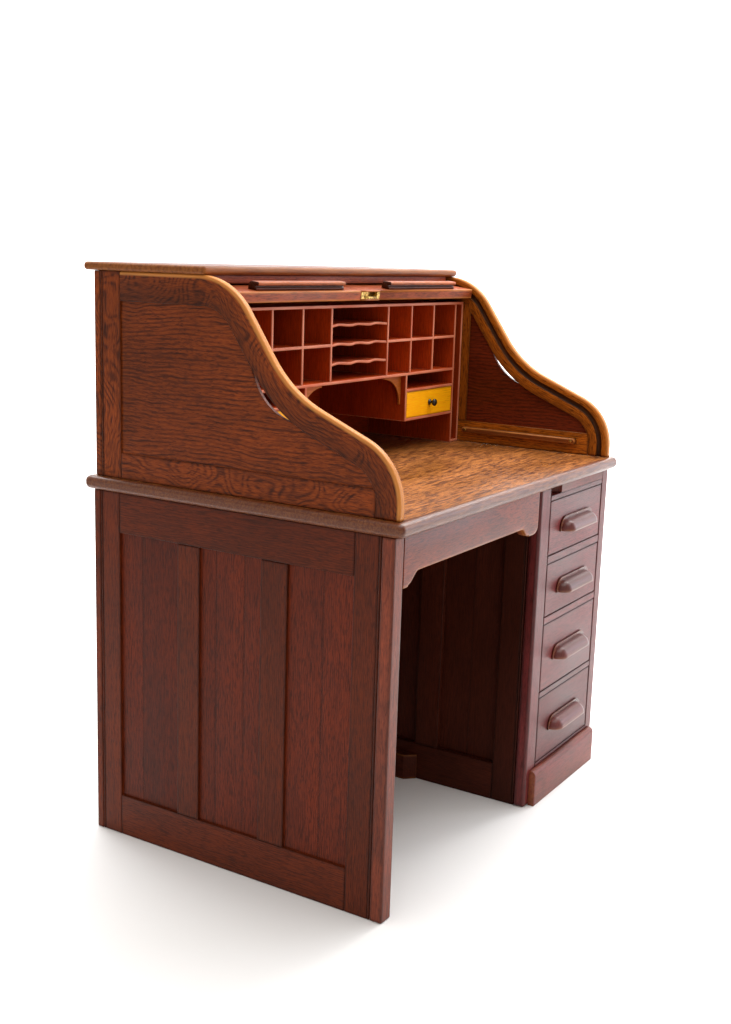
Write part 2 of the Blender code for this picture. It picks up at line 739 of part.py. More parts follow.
def build_drawers():
    front = -BASE_HALF_DEPTH + DRAWER_RECESS
    x0 = LEFT_STILE_INNER + DRAWER_CLEARANCE
    x1 = RIGHT_STILE_INNER - DRAWER_CLEARANCE
    centre_x = (x0 + x1) / 2
    for number, (low, high) in enumerate(DRAWER_OPENINGS, start=1):
        z0 = low + DRAWER_CLEARANCE
        z1 = high - DRAWER_CLEARANCE
        centre_z = (z0 + z1) / 2
        name = f"drawer_{number}"
        holder = pivot(name + "_slide", (centre_x, front, centre_z))
        face = box(name + "_front", (x0, x1), (front, front + DRAWER_FRONT_THICKNESS), (z0, z1))
        finish(ease(face, DRAWER_FRONT_EASE, 2), "front_oak")
        box_front = front + DRAWER_FRONT_THICKNESS + GAP
        tray_x = (x0 + DRAWER_BOX_INSET, x1 - DRAWER_BOX_INSET)
        tray_y = (box_front, box_front + DRAWER_BOX_LENGTH)
        tray_z = (z0 + 0.001, z1 - DRAWER_BOX_LOWER)
        tray = object_from(
            name + "_box",
            lambda bm: add_tray(bm, tray_x, tray_y, tray_z, DRAWER_SIDE, DRAWER_BOTTOM),
        )
        finish(tray, "raw_wood")
        pull = build_pull(name + "_pull", centre_x, front, centre_z - PULL_BELOW_CENTRE)
        hood = bpy.data.objects[name + "_pull_hood"]
        for piece in (face, tray, pull, hood):
            hang(piece, holder)


def build_writing_slide():
    front = -BASE_HALF_DEPTH
    x0 = LEFT_STILE_INNER + DRAWER_CLEARANCE
    x1 = RIGHT_STILE_INNER - DRAWER_CLEARANCE
    outline = [(x1, front), (x1, front + SLIDE_LENGTH), (x0, front + SLIDE_LENGTH), (x0, front + NOTCH_DEPTH)]
    notch_end = x0 + NOTCH_WIDTH
    scoop = NOTCH_DEPTH
    for a in range(90, -1, -ARC_STEP):
        angle = math.radians(a)
        outline.append((notch_end - scoop + scoop * math.cos(angle), front + scoop * math.sin(angle)))
    slide = prism("writing_slide", outline, "Z", SLIDE_OPENING_BOTTOM + GAP, UNDER_TOP - 0.001)
    holder = pivot("writing_slide_slide", (notch_end, front, SLIDE_OPENING_BOTTOM))
    finish(slide, "front_oak")
    hang(slide, holder)


# ---------------------------------------------------------------- upper carcass
def crescent(depth):
    """Extra shrinkage of a side panel along the hollow of the S, as a function of the fraction of the path."""
    low, high = CRESCENT_SPAN

    def inset(along):
        if not low < along < high:
            return 0.0
        return depth * math.sin(math.pi * (along - low) / (high - low)) ** 2

    return inset


def build_sides():
    track = track_path()
    tuck = SIDE_PANEL_TUCK
    opening = clipped_s(CURVED_RAIL_WIDTH, SIDE_BOTTOM_RAIL_TOP, SIDE_TOP_RAIL_BOTTOM, SIDE_BACK_STILE)
    front_opening = clipped_s(CURVED_RAIL_WIDTH, SIDE_BOTTOM_RAIL_TOP, SIDE_TOP_RAIL_BOTTOM, SIDE_STRIP[0])
    front_opening = [p for p in front_opening if p[0] <= SIDE_STRIP[0] + 1e-9]
    rear_opening = rectangle(SIDE_STRIP[1], SIDE_BACK_STILE, SIDE_BOTTOM_RAIL_TOP, SIDE_INSIDE_TOP)
    housing = clipped_s(
        CURVED_RAIL_WIDTH - tuck - GAP,
        SIDE_BOTTOM_RAIL_TOP - tuck - GAP,
        SIDE_TOP_RAIL_BOTTOM + tuck + GAP,
        SIDE_BACK_STILE + tuck + GAP,
    )
    groove = groove_outline(0.004, track.length - 0.004, GROOVE_WIDTH)
    for side, name in ((-1, "left"), (1, "right")):
        outer = side * SIDE_OUTER
        inner = side * SIDE_INNER
        middle = (outer + inner) / 2
        half = SIDE_PANEL_THICKNESS / 2
        frame = prism(name + "_side_frame", side_outline(), "X", outer, inner)
        beyond_outer = outer + side * CUT_OVER
        beyond_inner = inner - side * CUT_OVER
        parts = (
            ("outside", opening, beyond_outer, middle),
            ("inside_front", front_opening, middle, beyond_inner),
            ("inside_rear", rear_opening, middle, beyond_inner),
            ("housing", housing, middle - half - GAP, middle + half + GAP),
            ("track", groove, inner + side * GROOVE_DEPTH, beyond_inner),
        )
        for label, outline, low, high in parts:
            cut(frame, prism(f"{name}_side_{label}_cutter", outline, "X", low, high))
        finish(frame, "warm_oak")
        panel_shape = clipped_s(
            CURVED_RAIL_WIDTH - tuck,
            SIDE_BOTTOM_RAIL_TOP - tuck,
            SIDE_TOP_RAIL_BOTTOM + tuck,
            SIDE_BACK_STILE + tuck,
            inset=crescent(CRESCENT_DEPTHS[name]),
        )
        panel = prism(name + "_side_panel", panel_shape, "X", middle - half, middle + half)
        finish(panel, "dark_oak_panel")

        batten_x = inner - side * GAP
        end = BATTEN_WIDTH / 2
        shape = []
        for centre, start in ((BATTEN_SPAN[0] + end, 90), (BATTEN_SPAN[1] - end, -90)):
            for a in range(start, start + 181, 30):
                angle = math.radians(a)
                shape.append((centre + end * math.cos(angle), BATTEN_HEIGHT + end * math.sin(angle)))
        batten = prism(name + "_batten", shape, "X", batten_x, batten_x - side * BATTEN_THICKNESS)
        finish(ease(batten, BATTEN_EASE, 2), "warm_oak")


def build_top():
    half = TOP_BOARD_HALF_WIDTH
    top = box("top_board", (-half, half), (TOP_BOARD_FRONT, TOP_BOARD_BACK), (SIDE_TOP + GAP, TOTAL_HEIGHT))
    finish(ease(top, TOP_BOARD_ROUNDING, 4), "dark_oak")
    fascia_y = (FASCIA_FRONT, FASCIA_FRONT + FASCIA_THICKNESS)
    fascia = box("top_fascia", (-FASCIA_HALF_WIDTH, FASCIA_HALF_WIDTH), fascia_y, (FASCIA_BOTTOM, SIDE_TOP))
    finish(ease(fascia), "dark_oak")
    back_x = SIDE_INNER - GAP
    back_z = (SURFACE_HEIGHT + GAP, SIDE_TOP)
    back = box("upper_back_panel", (-back_x, back_x), (UPPER_BACK_Y, UPPER_BACK_Y + BACK_THICKNESS), back_z)
    finish(back, "dark_oak_panel")


# ---------------------------------------------------------------- pigeonhole case
def case_cells():
    """Openings of the case as X and Z spans, left to right."""
    half = CASE_WALL / 2
    top = CASE_TOP - CASE_WALL
    lower = CASE_BOTTOM_SHELF + half
    columns = [*CASE_DIVIDERS, CASE_SIDE]
    cells = []
    for side in (-1, 1):
        for near, far in zip(columns, columns[1:]):
            span = tuple(sorted((side * (near + half), side * (far - half))))
            cells.append((span, (CASE_MIDDLE_SHELF + half, top)))
            cells.append((span, (lower, CASE_MIDDLE_SHELF - half)))
        outer = tuple(sorted((side * (CASE_SIDE + half), side * (CASE_HALF_WIDTH - CASE_WALL))))
        cells.append((outer, (SURFACE_HEIGHT + GAP + CASE_WALL, top)))
        unit = tuple(sorted((side * (UNIT_WALL + half), side * (CASE_SIDE - half))))
        cells.append((unit, (UNIT_SHELF + half, CASE_BOTTOM_SHELF - half)))
        cells.append((unit, (UNIT_BOTTOM + half, UNIT_SHELF - half)))
    centre = (-CASE_DIVIDERS[0] + half, CASE_DIVIDERS[0] - half)
    levels = [top, *[z for shelf in LETTER_SHELVES for z in (shelf + half, shelf - half)], lower]
    for high, low in zip(levels[::2], levels[1::2]):
        cells.append((centre, (low, high)))
    return cells


def build_case():
    half = CASE_WALL / 2
    y_span = (CASE_FRONT, CASE_BACK)
    z_span = (SURFACE_HEIGHT + GAP, CASE_TOP)
    case = box("pigeonhole_case", (-CASE_HALF_WIDTH, CASE_HALF_WIDTH), y_span, z_span)
    through = (CASE_FRONT - CUT_OVER, CASE_BACK + CUT_OVER)
    cut(case, boxes("case_cells", [(x, through, z) for x, z in case_cells()]))
    unit_low = UNIT_BOTTOM - half
    reach = CASE_SIDE - half
    room = [
        (-reach, SURFACE_HEIGHT - CUT_OVER),
        (reach, SURFACE_HEIGHT - CUT_OVER),
        (reach, unit_low),
        (UNIT_WALL - half, unit_low),
        (UNIT_WALL - half, CASE_BOTTOM_SHELF - half),
        (half - UNIT_WALL, CASE_BOTTOM_SHELF - half),
        (half - UNIT_WALL, unit_low),
        (-reach, unit_low),
    ]
    cut(case, prism("case_lower_room", room, "Y", *through))
    bay = CASE_DIVIDERS[0] - half - GAP
    wave = [(-bay, CASE_FRONT - CUT_OVER)]
    for i in range(LETTER_WAVE_STEPS + 1):
        along = i / LETTER_WAVE_STEPS
        dip = 0.5 - 0.5 * math.cos(LETTER_WAVE_LOBES * 2 * math.pi * along)
        wave.append((bay * (2 * along - 1), CASE_FRONT + LETTER_WAVE_START + LETTER_WAVE * dip))
    wave.append((bay, CASE_FRONT - CUT_OVER))
    cut(case, prism("letter_shelf_waves", wave, "Z", LETTER_SHELVES[2] - 0.01, LETTER_SHELVES[0] + 0.01))
    finish(case, "case_wood")
    back_y = (CASE_BACK + GAP, CASE_BACK + GAP + CASE_BACK_THICKNESS)
    back = box("pigeonhole_back", (-CASE_HALF_WIDTH, CASE_HALF_WIDTH), back_y, z_span)
    finish(back, "case_wood")

    shelf = CASE_BOTTOM_SHELF - half - GAP
    for side, name in ((-1, "left"), (1, "right")):
        wall = UNIT_WALL - half - GAP
        tip = wall - BRACKET_WIDTH
        foot = shelf - BRACKET_HEIGHT
        outline = [(wall, shelf), (tip, shelf), (tip, shelf - BRACKET_TOE)]
        for a in range(90, -1, -ARC_STEP):
            angle = math.radians(a)
            across = (BRACKET_WIDTH - BRACKET_TOE / 2) * math.cos(angle)
            up = (BRACKET_HEIGHT - BRACKET_TOE) * math.sin(angle)
            outline.append((tip + across, foot + up))
        outline.append((wall, foot))
        outline = [(side * x, z) for x, z in outline]
        bracket = prism(name + "_bracket", outline, "Y", BRACKET_FRONT, BRACKET_FRONT + BRACKET_THICKNESS)
        finish(bracket, "yellow_ash")


def build_small_drawers():
    half = CASE_WALL / 2
    clear = SMALL_DRAWER_CLEARANCE
    front = CASE_FRONT + SMALL_DRAWER_RECESS
    for side, name in ((-1, "left"), (1, "right")):
        x_span = sorted((side * (UNIT_WALL + half + clear), side * (CASE_SIDE - half - clear)))
        z_span = (UNIT_BOTTOM + half + clear / 2, UNIT_SHELF - half - clear)
        centre_x = (x_span[0] + x_span[1]) / 2
        centre_z = (z_span[0] + z_span[1]) / 2
        holder = pivot(name + "_small_drawer_slide", (centre_x, front, centre_z))
        span_y = (front, CASE_BACK - SMALL_DRAWER_REAR_GAP)
        tray = object_from(
            name + "_small_drawer",
            lambda bm: add_tray(bm, x_span, span_y, z_span, SMALL_DRAWER_WALL, SMALL_DRAWER_FLOOR),
        )
        finish(tray, "yellow_ash")
        knob = object_from(name + "_small_knob", lambda bm: add_turned(bm, KNOB_PROFILE))
        smooth(knob)
        knob.location = (centre_x, front - GAP, centre_z)
        finish(knob, "ebonised")
        hang(tray, holder)
        hang(knob, holder)


def add_turned(bm, profile, sides=20):
    """Turned shape: radius and height pairs spun round an axis that points to -Y."""
    rings = []
    for radius, along in profile:
        if radius == 0.0:
            rings.append([bm.verts.new((0.0, -along, 0.0))])
            continue
        ring = []
        for i in range(sides):
            a = 2 * math.pi * i / sides
            ring.append(bm.verts.new((radius * math.cos(a), -along, radius * math.sin(a))))
        rings.append(ring)
    for low, high in zip(rings, rings[1:]):
        for i in range(sides):
            j = (i + 1) % sides
            corners = [low[i % len(low)], low[j % len(low)], high[j % len(high)], high[i % len(high)]]
            unique = list(dict.fromkeys(corners))
            bm.faces.new(unique)


# ---------------------------------------------------------------- curtain
def pole_between(open_pose, closed_pose):
    """Centre of the turn that carries one placing of a rigid piece to another, and the angle of that turn."""
    angle = closed_pose[2] - open_pose[2]
    cosine = math.cos(angle)
    sine = math.sin(angle)
    dy = closed_pose[0] - (cosine * open_pose[0] - sine * open_pose[1])
    dz = closed_pose[1] - (sine * open_pose[0] + cosine * open_pose[1])
    scale = 2 * (1 - cosine)
    y = ((1 - cosine) * dy - sine * dz) / scale
    z = (sine * dy + (1 - cosine) * dz) / scale
    return (y, z), angle


def chord_pose(path, start, length):
    """Placing of a rigid piece whose two ends lie on the path: foot of the chord and its direction."""
    y0, z0, _ = path.at(start)
    low = start
    high = start + 1.4 * length
    for _ in range(50):
        middle = (low + high) / 2
        y1, z1, _ = path.at(middle)
        if math.hypot(y1 - y0, z1 - z0) < length:
            low = middle
        else:
            high = middle
    y1, z1, _ = path.at(low)
    return (y0, z0, math.atan2(z1 - z0, y1 - y0)), low


def local_to_world(points, pose):
    y, z, heading = pose
    c = math.cos(heading)
    s = math.sin(heading)
    return [(y + u * c - w * s, z + u * s + w * c) for u, w in points]


def world_to_local(points, pose):
    y, z, heading = pose
    c = math.cos(heading)
    s = math.sin(heading)
    return [((a - y) * c + (b - z) * s, -(a - y) * s + (b - z) * c) for a, b in points]


def rail_poses():
    track = track_path()
    closed, end = chord_pose(track, LEAD_RAIL_CLOSED_START, LEAD_RAIL_WIDTH)
    return (LEAD_RAIL_OPEN_Y, LEAD_RAIL_OPEN_Z, LEAD_RAIL_OPEN_TILT), closed, end


def build_lead_rail():
    open_pose, closed_pose, _ = rail_poses()
    (pole_y, pole_z), _ = pole_between(open_pose, closed_pose)
    holder = pivot("curtain_pivot_lead", (0.0, pole_y, pole_z))
    half = LEAD_RAIL_THICKNESS / 2
    outline = local_to_world(rectangle(0.0, LEAD_RAIL_WIDTH, -half, half), open_pose)
    rail = prism("curtain_lead_rail", outline, "X", -CURTAIN_HALF_WIDTH, CURTAIN_HALF_WIDTH)
    ease(rail, RAIL_EASE, 2)
    pocket_half = LOCK_THICKNESS / 2 + GAP
    pocket_shape = rectangle(-CUT_OVER, LOCK_DEPTH + GAP, -pocket_half, pocket_half)
    pocket_reach = LOCK_HALF_WIDTH + GAP
    pocket = prism("lock_pocket", local_to_world(pocket_shape, open_pose), "X", -pocket_reach, pocket_reach)
    cut(rail, pocket)
    finish(rail, "dark_oak")

    body = rectangle(LOCK_SETBACK, LOCK_DEPTH, -LOCK_THICKNESS / 2, LOCK_THICKNESS / 2)
    lock = prism("curtain_lock", local_to_world(body, open_pose), "X", -LOCK_HALF_WIDTH, LOCK_HALF_WIDTH)
    bite = local_to_world(rectangle(-CUT_OVER, LOCK_BITE_DEPTH, LOCK_BITE_FLOOR, LOCK_THICKNESS), open_pose)
    bite_reach = LOCK_HALF_WIDTH - LOCK_LUG_WIDTH
    cut(lock, prism("lock_bite", bite, "X", -bite_reach, bite_reach))
    finish(lock, "worn_brass")

    base = half + GAP
    strip = [(PULL_STRIP_START + along, base + up) for along, up in PULL_STRIP_PROFILE]
    shape = local_to_world(strip, open_pose)
    pieces = [rail, pocket, lock, bpy.data.objects["lock_bite"]]
    for side, name in ((-1, "left"), (1, "right")):
        low, high = PULL_STRIP_SPAN
        piece = prism(name + "_finger_pull", shape, "X", side * low, side * high)
        finish(ease(piece, PULL_STRIP_EASE), "dark_oak")
        pieces.append(piece)
    for piece in pieces:
        hang(piece, holder)


def section_shape(track, start, end):
    """Closed outline of three slats side by side along the track, rounded outside, flat inside."""
    half = SLAT_THICKNESS / 2
    pitch = (end - start) / SLATS_PER_SECTION
    outer = []
    inner = []
    for slat in range(SLATS_PER_SECTION):
        for part, crown in SLAT_CROWN:
            y, z, heading = track.at(start + (slat + part) * pitch)
            lift = half + crown
            outer.append((y - math.sin(heading) * lift, z + math.cos(heading) * lift))
        y, z, heading = track.at(start + (slat + 0.5) * pitch)
        inner.append((y + math.sin(heading) * half, z - math.cos(heading) * half))
    for place, target in ((end, outer), (start, inner), (end, inner)):
        y, z, heading = track.at(place)
        lift = half - SLAT_EDGE_DROP if target is outer else -half
        point = (y - math.sin(heading) * lift, z + math.cos(heading) * lift)
        if target is inner and place == start:
            target.insert(0, point)
        else:
            target.append(point)
    return outer + inner[::-1]


def centred_open_pose(track, start, local_shape, length):
    """Open placing on the track, shifted square to the chord so that the thickness lies evenly about it."""
    (y, z, heading), _ = chord_pose(track, start, length)
    spread = [w for _, w in local_shape]
    shift = -(max(spread) + min(spread)) / 2
    return (y - math.sin(heading) * shift, z + math.cos(heading) * shift, heading)


def section_poses():
    """Open and closed placing of each section, with its outline in its own frame."""
    track = track_path()
    _, _, rail_end = rail_poses()
    reach = s_path(TRACK_OFFSET)
    open_start = reach.length + FIRST_OPEN_START_Y - reach.y
    result = []
    for index in range(SECTION_COUNT):
        start = rail_end + SECTION_GAP + index * SECTION_PITCH
        end = start + SECTION_PITCH - SECTION_GAP
        y0, z0, _ = track.at(start)
        y1, z1, _ = track.at(end)
        length = math.hypot(y1 - y0, z1 - z0)
        closed_pose = (y0, z0, math.atan2(z1 - z0, y1 - y0))
        shape = world_to_local(section_shape(track, start, end), closed_pose)
        spread = CORNER_SPREAD * sum(index >= corner for corner in CORNER_SECTIONS)
        place = open_start + index * OPEN_SECTION_STEP + spread
        open_pose = centred_open_pose(track, place, shape, length)
        result.append((open_pose, closed_pose, shape))
    return result


def build_sections():
    for number, (open_pose, closed_pose, shape) in enumerate(section_poses(), start=1):
        (pole_y, pole_z), _ = pole_between(open_pose, closed_pose)
        holder = pivot(f"curtain_pivot_{number}", (0.0, pole_y, pole_z))
        outline = local_to_world(shape, open_pose)
        section = prism(f"curtain_section_{number}", outline, "X", -CURTAIN_HALF_WIDTH, CURTAIN_HALF_WIDTH)
        finish(section, "dark_oak")
        hang(section, holder)


def main():
    for obj in list(bpy.data.objects):
        bpy.data.objects.remove(obj)
    build_ends()
    build_pedestal()
    build_apron()
    build_writing_top()
    build_drawers()
    build_writing_slide()
    build_sides()
    build_top()
    build_case()
    build_small_drawers()
    build_lead_rail()
    build_sections()
    bpy.context.view_layer.update()


main()
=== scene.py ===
"""Roll top desk in stained oak: the boards, slats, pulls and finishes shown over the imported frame."""

import json
import math

import bpy
import numpy as np
from bpy.props import FloatProperty, FloatVectorProperty, IntProperty, PointerProperty
from mathutils import Matrix, Vector


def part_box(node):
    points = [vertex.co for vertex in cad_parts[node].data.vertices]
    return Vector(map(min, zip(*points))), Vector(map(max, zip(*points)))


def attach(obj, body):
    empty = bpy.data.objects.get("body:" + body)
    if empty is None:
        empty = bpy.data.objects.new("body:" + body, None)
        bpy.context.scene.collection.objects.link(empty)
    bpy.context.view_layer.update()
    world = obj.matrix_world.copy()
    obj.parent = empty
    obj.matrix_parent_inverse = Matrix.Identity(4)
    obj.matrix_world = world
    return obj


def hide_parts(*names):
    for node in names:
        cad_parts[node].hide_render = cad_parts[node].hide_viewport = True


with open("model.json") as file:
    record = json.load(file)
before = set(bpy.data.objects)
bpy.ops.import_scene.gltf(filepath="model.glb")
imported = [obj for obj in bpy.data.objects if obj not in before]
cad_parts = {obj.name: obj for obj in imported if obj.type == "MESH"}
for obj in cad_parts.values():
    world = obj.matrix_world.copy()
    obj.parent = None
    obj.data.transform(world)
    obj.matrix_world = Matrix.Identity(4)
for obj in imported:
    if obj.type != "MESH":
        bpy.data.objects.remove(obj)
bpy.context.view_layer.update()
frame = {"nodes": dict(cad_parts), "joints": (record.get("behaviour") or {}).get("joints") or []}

bl_info = {
    "name": "Roll Top Desk",
    "version": (1, 0, 0),
    "blender": (4, 5, 0),
    "location": "3D View > Sidebar > Desk",
    "description": "Builds a single-pedestal roll top desk around its packed frame",
    "category": "Add Mesh",
}

FLAT_MARGIN = 0.0035


def linear(hex_colour):
    """Linear RGB of a six-digit sRGB hex colour."""
    encoded = np.array([int(hex_colour[i : i + 2], 16) for i in (0, 2, 4)]) / 255
    decoded = np.where(encoded <= 0.04045, encoded / 12.92, ((encoded + 0.055) / 1.055) ** 2.4)
    return tuple(float(channel) for channel in decoded)


def length(name, description, default):
    """A length property in metres."""
    return FloatProperty(name=name, description=description, default=default, unit="LENGTH", precision=4)


def colour(name, description, hex_colour):
    """A colour property, given as sRGB hex and kept linear."""
    return FloatVectorProperty(
        name=name, description=description, default=linear(hex_colour), subtype="COLOR", size=3, min=0, max=1
    )


def corners(node):
    """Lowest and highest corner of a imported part, as arrays."""
    low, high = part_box(node)
    return np.array(low), np.array(high)


# ---------------------------------------------------------------- what a user may change
class DeskSizes(bpy.types.PropertyGroup):
    """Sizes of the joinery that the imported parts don't give by themselves."""

    edge_rounding: length("Edge rounding", "Radius of the worn edges of ordinary boards", 0.0014)
    post_rounding: length("Post rounding", "Radius of the corner posts' edges", 0.0030)
    bead_width: length("Bead width", "Width of the bead between a post and the frame beside it", 0.0048)
    top_rounding: length("Top rounding", "Radius of the bullnose round the writing top", 0.0122)
    top_board_rounding: length("Top board rounding", "Radius of the nose of the top board", 0.0072)
    panel_tongue: length("Panel tongue", "Depth that a panel reaches into its frame", 0.006)
    panel_recess: length("Panel recess", "Depth of the panels behind the frame's face", 0.0062)
    side_recess: length("Side recess", "Depth of the S side's panel behind its outer face", 0.0028)
    rail_width: length("Curved rail width", "Width of the rail that follows the S", 0.051)
    rail_rounding: length("Curved rail rounding", "Radius of the curved rail's outer edges", 0.0042)
    track_offset: length("Track offset", "From the S edge to the middle of the curtain groove", 0.0225)
    track_width: length("Track width", "Width of the curtain groove", 0.012)
    track_depth: length("Track depth", "Depth of the curtain groove", 0.007)
    slat_thickness: length("Slat thickness", "Thickness of a curtain slat at its crown", 0.0102)
    case_wall: length("Case wall", "Thickness of the pigeonhole boards", 0.006)
    slats_per_section: IntProperty(
        name="Slats per section", description="Slats on one stretch of the canvas", default=3, min=1, max=6
    )


class DeskColours(bpy.types.PropertyGroup):
    """Colours of the finishes."""

    dark_oak: colour("Dark oak", "Stained oak of the ends, frames and slats", "6A280A")
    dark_oak_deep: colour("Dark oak grain", "Late wood and pores of the dark oak", "1C0803")
    figured_oak: colour("Figured oak", "Plain-sawn oak of the S sides", "863A0E")
    top_rim: colour("Top rim", "Dark worked edge of the writing top", "56240E")
    panel_oak: colour("Panel oak", "Oak of the panels", "6C260C")
    # the worn edge colour is rubbed-off stain and also a painted highlight along rounded edges
    worn_and_lit_edge: colour("Worn edge", "Rubbed edges where the stain has gone", "CC8440")
    golden_oak: colour("Golden oak", "Writing surface", "C87C3A")
    golden_fleck: colour("Golden oak fleck", "Dark flecks of the writing surface", "4A200C")
    warm_oak: colour("Warm oak", "Inside faces of the S sides", "B05E14")
    front_oak: colour("Front oak", "Drawer fronts, plinth and face frame", "702B2A")
    case_wood: colour("Case wood", "Thin boards and back of the pigeonholes", "B8400E")
    case_edge: colour("Case edge", "Front edges of the pigeonhole boards", "D08060")
    yellow_ash: colour("Yellow ash", "The two small drawers", "FFB00A")
    raw_wood: colour("Raw wood", "Unfinished drawer sides and bottoms", "A9804F")
    brass: colour("Brass", "Lock, strike plate and screws", "D8B060")
    bracket_ash: colour("Bracket ash", "Arched brackets under the pigeonholes", "C86A24")
    lead_oak: colour("Lead rail oak", "Leading rail and finger pulls, reddened by handling", "A04A26")
    apron_oak: colour("Apron oak", "Apron and left front post, warmer than the drawers", "84391F")
    # the kneehole oak is darker than the rest as painted shade inside the kneehole
    shaded_kneehole_oak: colour("Kneehole oak", "Inside of the kneehole, darkened and never faded", "461B0E")
    pull_oak: colour("Pull oak", "Drawer pulls, dark and polished by hands", "5C2628")
    canvas: colour("Canvas", "Backing of the curtain", "6E6350")


# ---------------------------------------------------------------- surfaces worked out with numpy
def seed_of(point):
    """A fixed number from 0 to 1 for a place, so that each board gets its own stretch of grain."""
    mixed = math.sin(float(np.dot(point, (12.9898, 78.233, 37.719)))) * 43758.5453
    return mixed - math.floor(mixed)


def rounded_outline(width, height, radius, steps=3, margin=FLAT_MARGIN):
    """Closed outline of a rounded rectangle, counter-clockwise.

    Each point is a base point plus the radius times a direction. The base points are the corner
    centres, plus one point on each flat a little way in from either end of it.
    """
    radius = min(radius, 0.49 * width, 0.49 * height)
    half = np.array((width / 2 - radius, height / 2 - radius))
    bases = []
    directions = []
    flags = []
    narrow = 0.006
    for quarter in range(4):
        turn = math.pi / 2 * quarter
        corner = half * ((1, 1), (-1, 1), (-1, -1), (1, -1))[quarter]
        angles = turn + np.linspace(0, math.pi / 2, steps + 1)
        run = 2 * half[1 if quarter % 2 == 0 else 0]
        inset = min(margin, run / 3)
        before = np.array((math.cos(turn), math.sin(turn)))
        back = np.array((math.sin(turn), -math.cos(turn))) * inset
        run_after = 2 * half[0 if quarter % 2 == 0 else 1]
        after = np.array((-math.sin(turn), math.cos(turn)))
        forth = np.array((-math.cos(turn), -math.sin(turn))) * min(margin, run_after / 3)
        bases.append(np.vstack([corner + back, np.repeat([corner], steps + 1, 0), corner + forth]))
        directions.append(np.vstack([before, np.column_stack([np.cos(angles), np.sin(angles)]), after]))
        flags.append(np.concatenate([[float(run < narrow)], np.ones(steps + 1), [float(run_after < narrow)]]))
    return np.vstack(bases), np.vstack(directions), np.concatenate(flags), radius


def skin(rings, grain, edge):
    """Surface through rings of points: quads between neighbouring rings, and a cap on each end.

    rings is stations x points x 3, and its faces are turned so that they point away from the middle of
    each ring.
    """
    stations, count = rings.shape[:2]
    index = np.arange(stations * count).reshape(stations, count)
    here = index[:-1]
    there = index[1:]
    quads = np.stack([here, np.roll(here, -1, 1), np.roll(there, -1, 1), there], -1).reshape(-1, 4)
    middle = rings[0].mean(0)
    spokes = rings[0] - middle
    turning = np.cross(spokes, np.roll(spokes, -1, 0)).sum(0)
    ahead = rings[1].mean(0) - middle
    flip = float(np.dot(turning, ahead)) < 0
    faces = [*quads.tolist(), index[0, ::-1].tolist(), index[-1].tolist()]
    if flip:
        faces = [face[::-1] for face in faces]
    return {
        "points": rings.reshape(-1, 3),
        "faces": faces,
        "grain": np.broadcast_to(grain, rings.shape).reshape(-1, 3),
        "edge": np.broadcast_to(edge, rings.shape[:2]).reshape(-1),
        "tone": seed_of(middle + ahead / 2),
    }


def board(low, high, axis, rounding=0.0014, steps=2, margin=FLAT_MARGIN, wear=-0.45):
    """Plank between two corners with its grain along one axis.

    A rounded rectangle is carried along the grain, and near each end its outline shrinks as
    radius x (1 - sin phi) while it advances by radius x (1 - cos phi), which rounds the end edges.
    """
    low, high = np.minimum(low, high), np.maximum(low, high)
    first = (axis + 1) % 3
    second = (axis + 2) % 3
    size = high - low
    bases, directions, flags, radius = rounded_outline(size[first], size[second], rounding, steps, margin)
    radius = min(radius, 0.45 * size[axis])
    phi = np.linspace(math.radians(12), math.pi / 2, steps + 1)
    near = radius * (1 - np.cos(phi))
    shrink = radius * (1 - np.sin(phi))
    inner = min(margin, (size[axis] - 2 * radius) / 3)
    along = np.concatenate([near, [radius + inner]])
    along = np.concatenate([along, size[axis] - along[::-1]])
    shrink = np.concatenate([shrink, [0.0, 0.0], shrink[::-1]])
    end_flag = np.concatenate([np.ones(steps + 1), [0.0, 0.0], np.ones(steps + 1)])
    outline = bases[None] + (radius - shrink)[:, None, None] * directions[None]
    centre = (low + high) / 2
    rings = np.empty((len(along), len(flags), 3))
    rings[..., axis] = low[axis] + along[:, None]
    rings[..., first] = centre[first] + outline[..., 0]
    rings[..., second] = centre[second] + outline[..., 1]
    across, through = (first, second) if size[first] >= size[second] else (second, first)
    from_centre = rings - centre
    grain = np.stack([rings[..., axis], from_centre[..., across], from_centre[..., through]], -1)
    # wear scales the edge values: a positive wear gives rubbed edges that are also painted highlights, and
    # the negative default darkens every edge with dirt in the joints and painted shade between parts
    return skin(rings, grain, wear * np.maximum(end_flag[:, None], flags[None]))


def carry(outline, flags, path, headings, side, inner_extra, x_middle):
    """Carries an outline along a path in the YZ plane.

    The outline's first number runs along X, to the given side, and its second runs inwards, square to the
    path, from the path's line. inner_extra widens the inner half of the outline by a length for each station.
    """
    inner_half = 0.03
    inward = np.column_stack([np.sin(headings), -np.cos(headings)])
    depth = outline[None, :, 1] + np.where(outline[None, :, 1] > inner_half, inner_extra[:, None], 0.0)
    rings = np.empty((len(path), len(outline), 3))
    rings[..., 0] = x_middle + side * outline[None, :, 0]
    rings[..., 1:] = path[:, None, :] + depth[..., None] * inward[:, None, :]
    steps = np.linalg.norm(np.diff(path, axis=0), axis=1)
    distance = np.concatenate([[0.0], np.cumsum(steps)])
    grain = np.stack([np.broadcast_to(distance[:, None], depth.shape), depth, rings[..., 0]], -1)
    return skin(rings, grain, flags[None])


def turned(profile, centre, sides=40):
    """Surface of revolution about an axis that points to -Y: radius and projection pairs, spun round it."""
    profile = np.array(profile)
    angle = np.linspace(0, 2 * math.pi, sides, endpoint=False)
    rings = np.empty((len(profile), sides, 3))
    rings[..., 0] = centre[0] + profile[:, :1] * np.cos(angle)
    rings[..., 1] = centre[1] - profile[:, 1:]
    rings[..., 2] = centre[2] + profile[:, :1] * np.sin(angle)
    return skin(rings, rings, np.zeros(sides)[None])


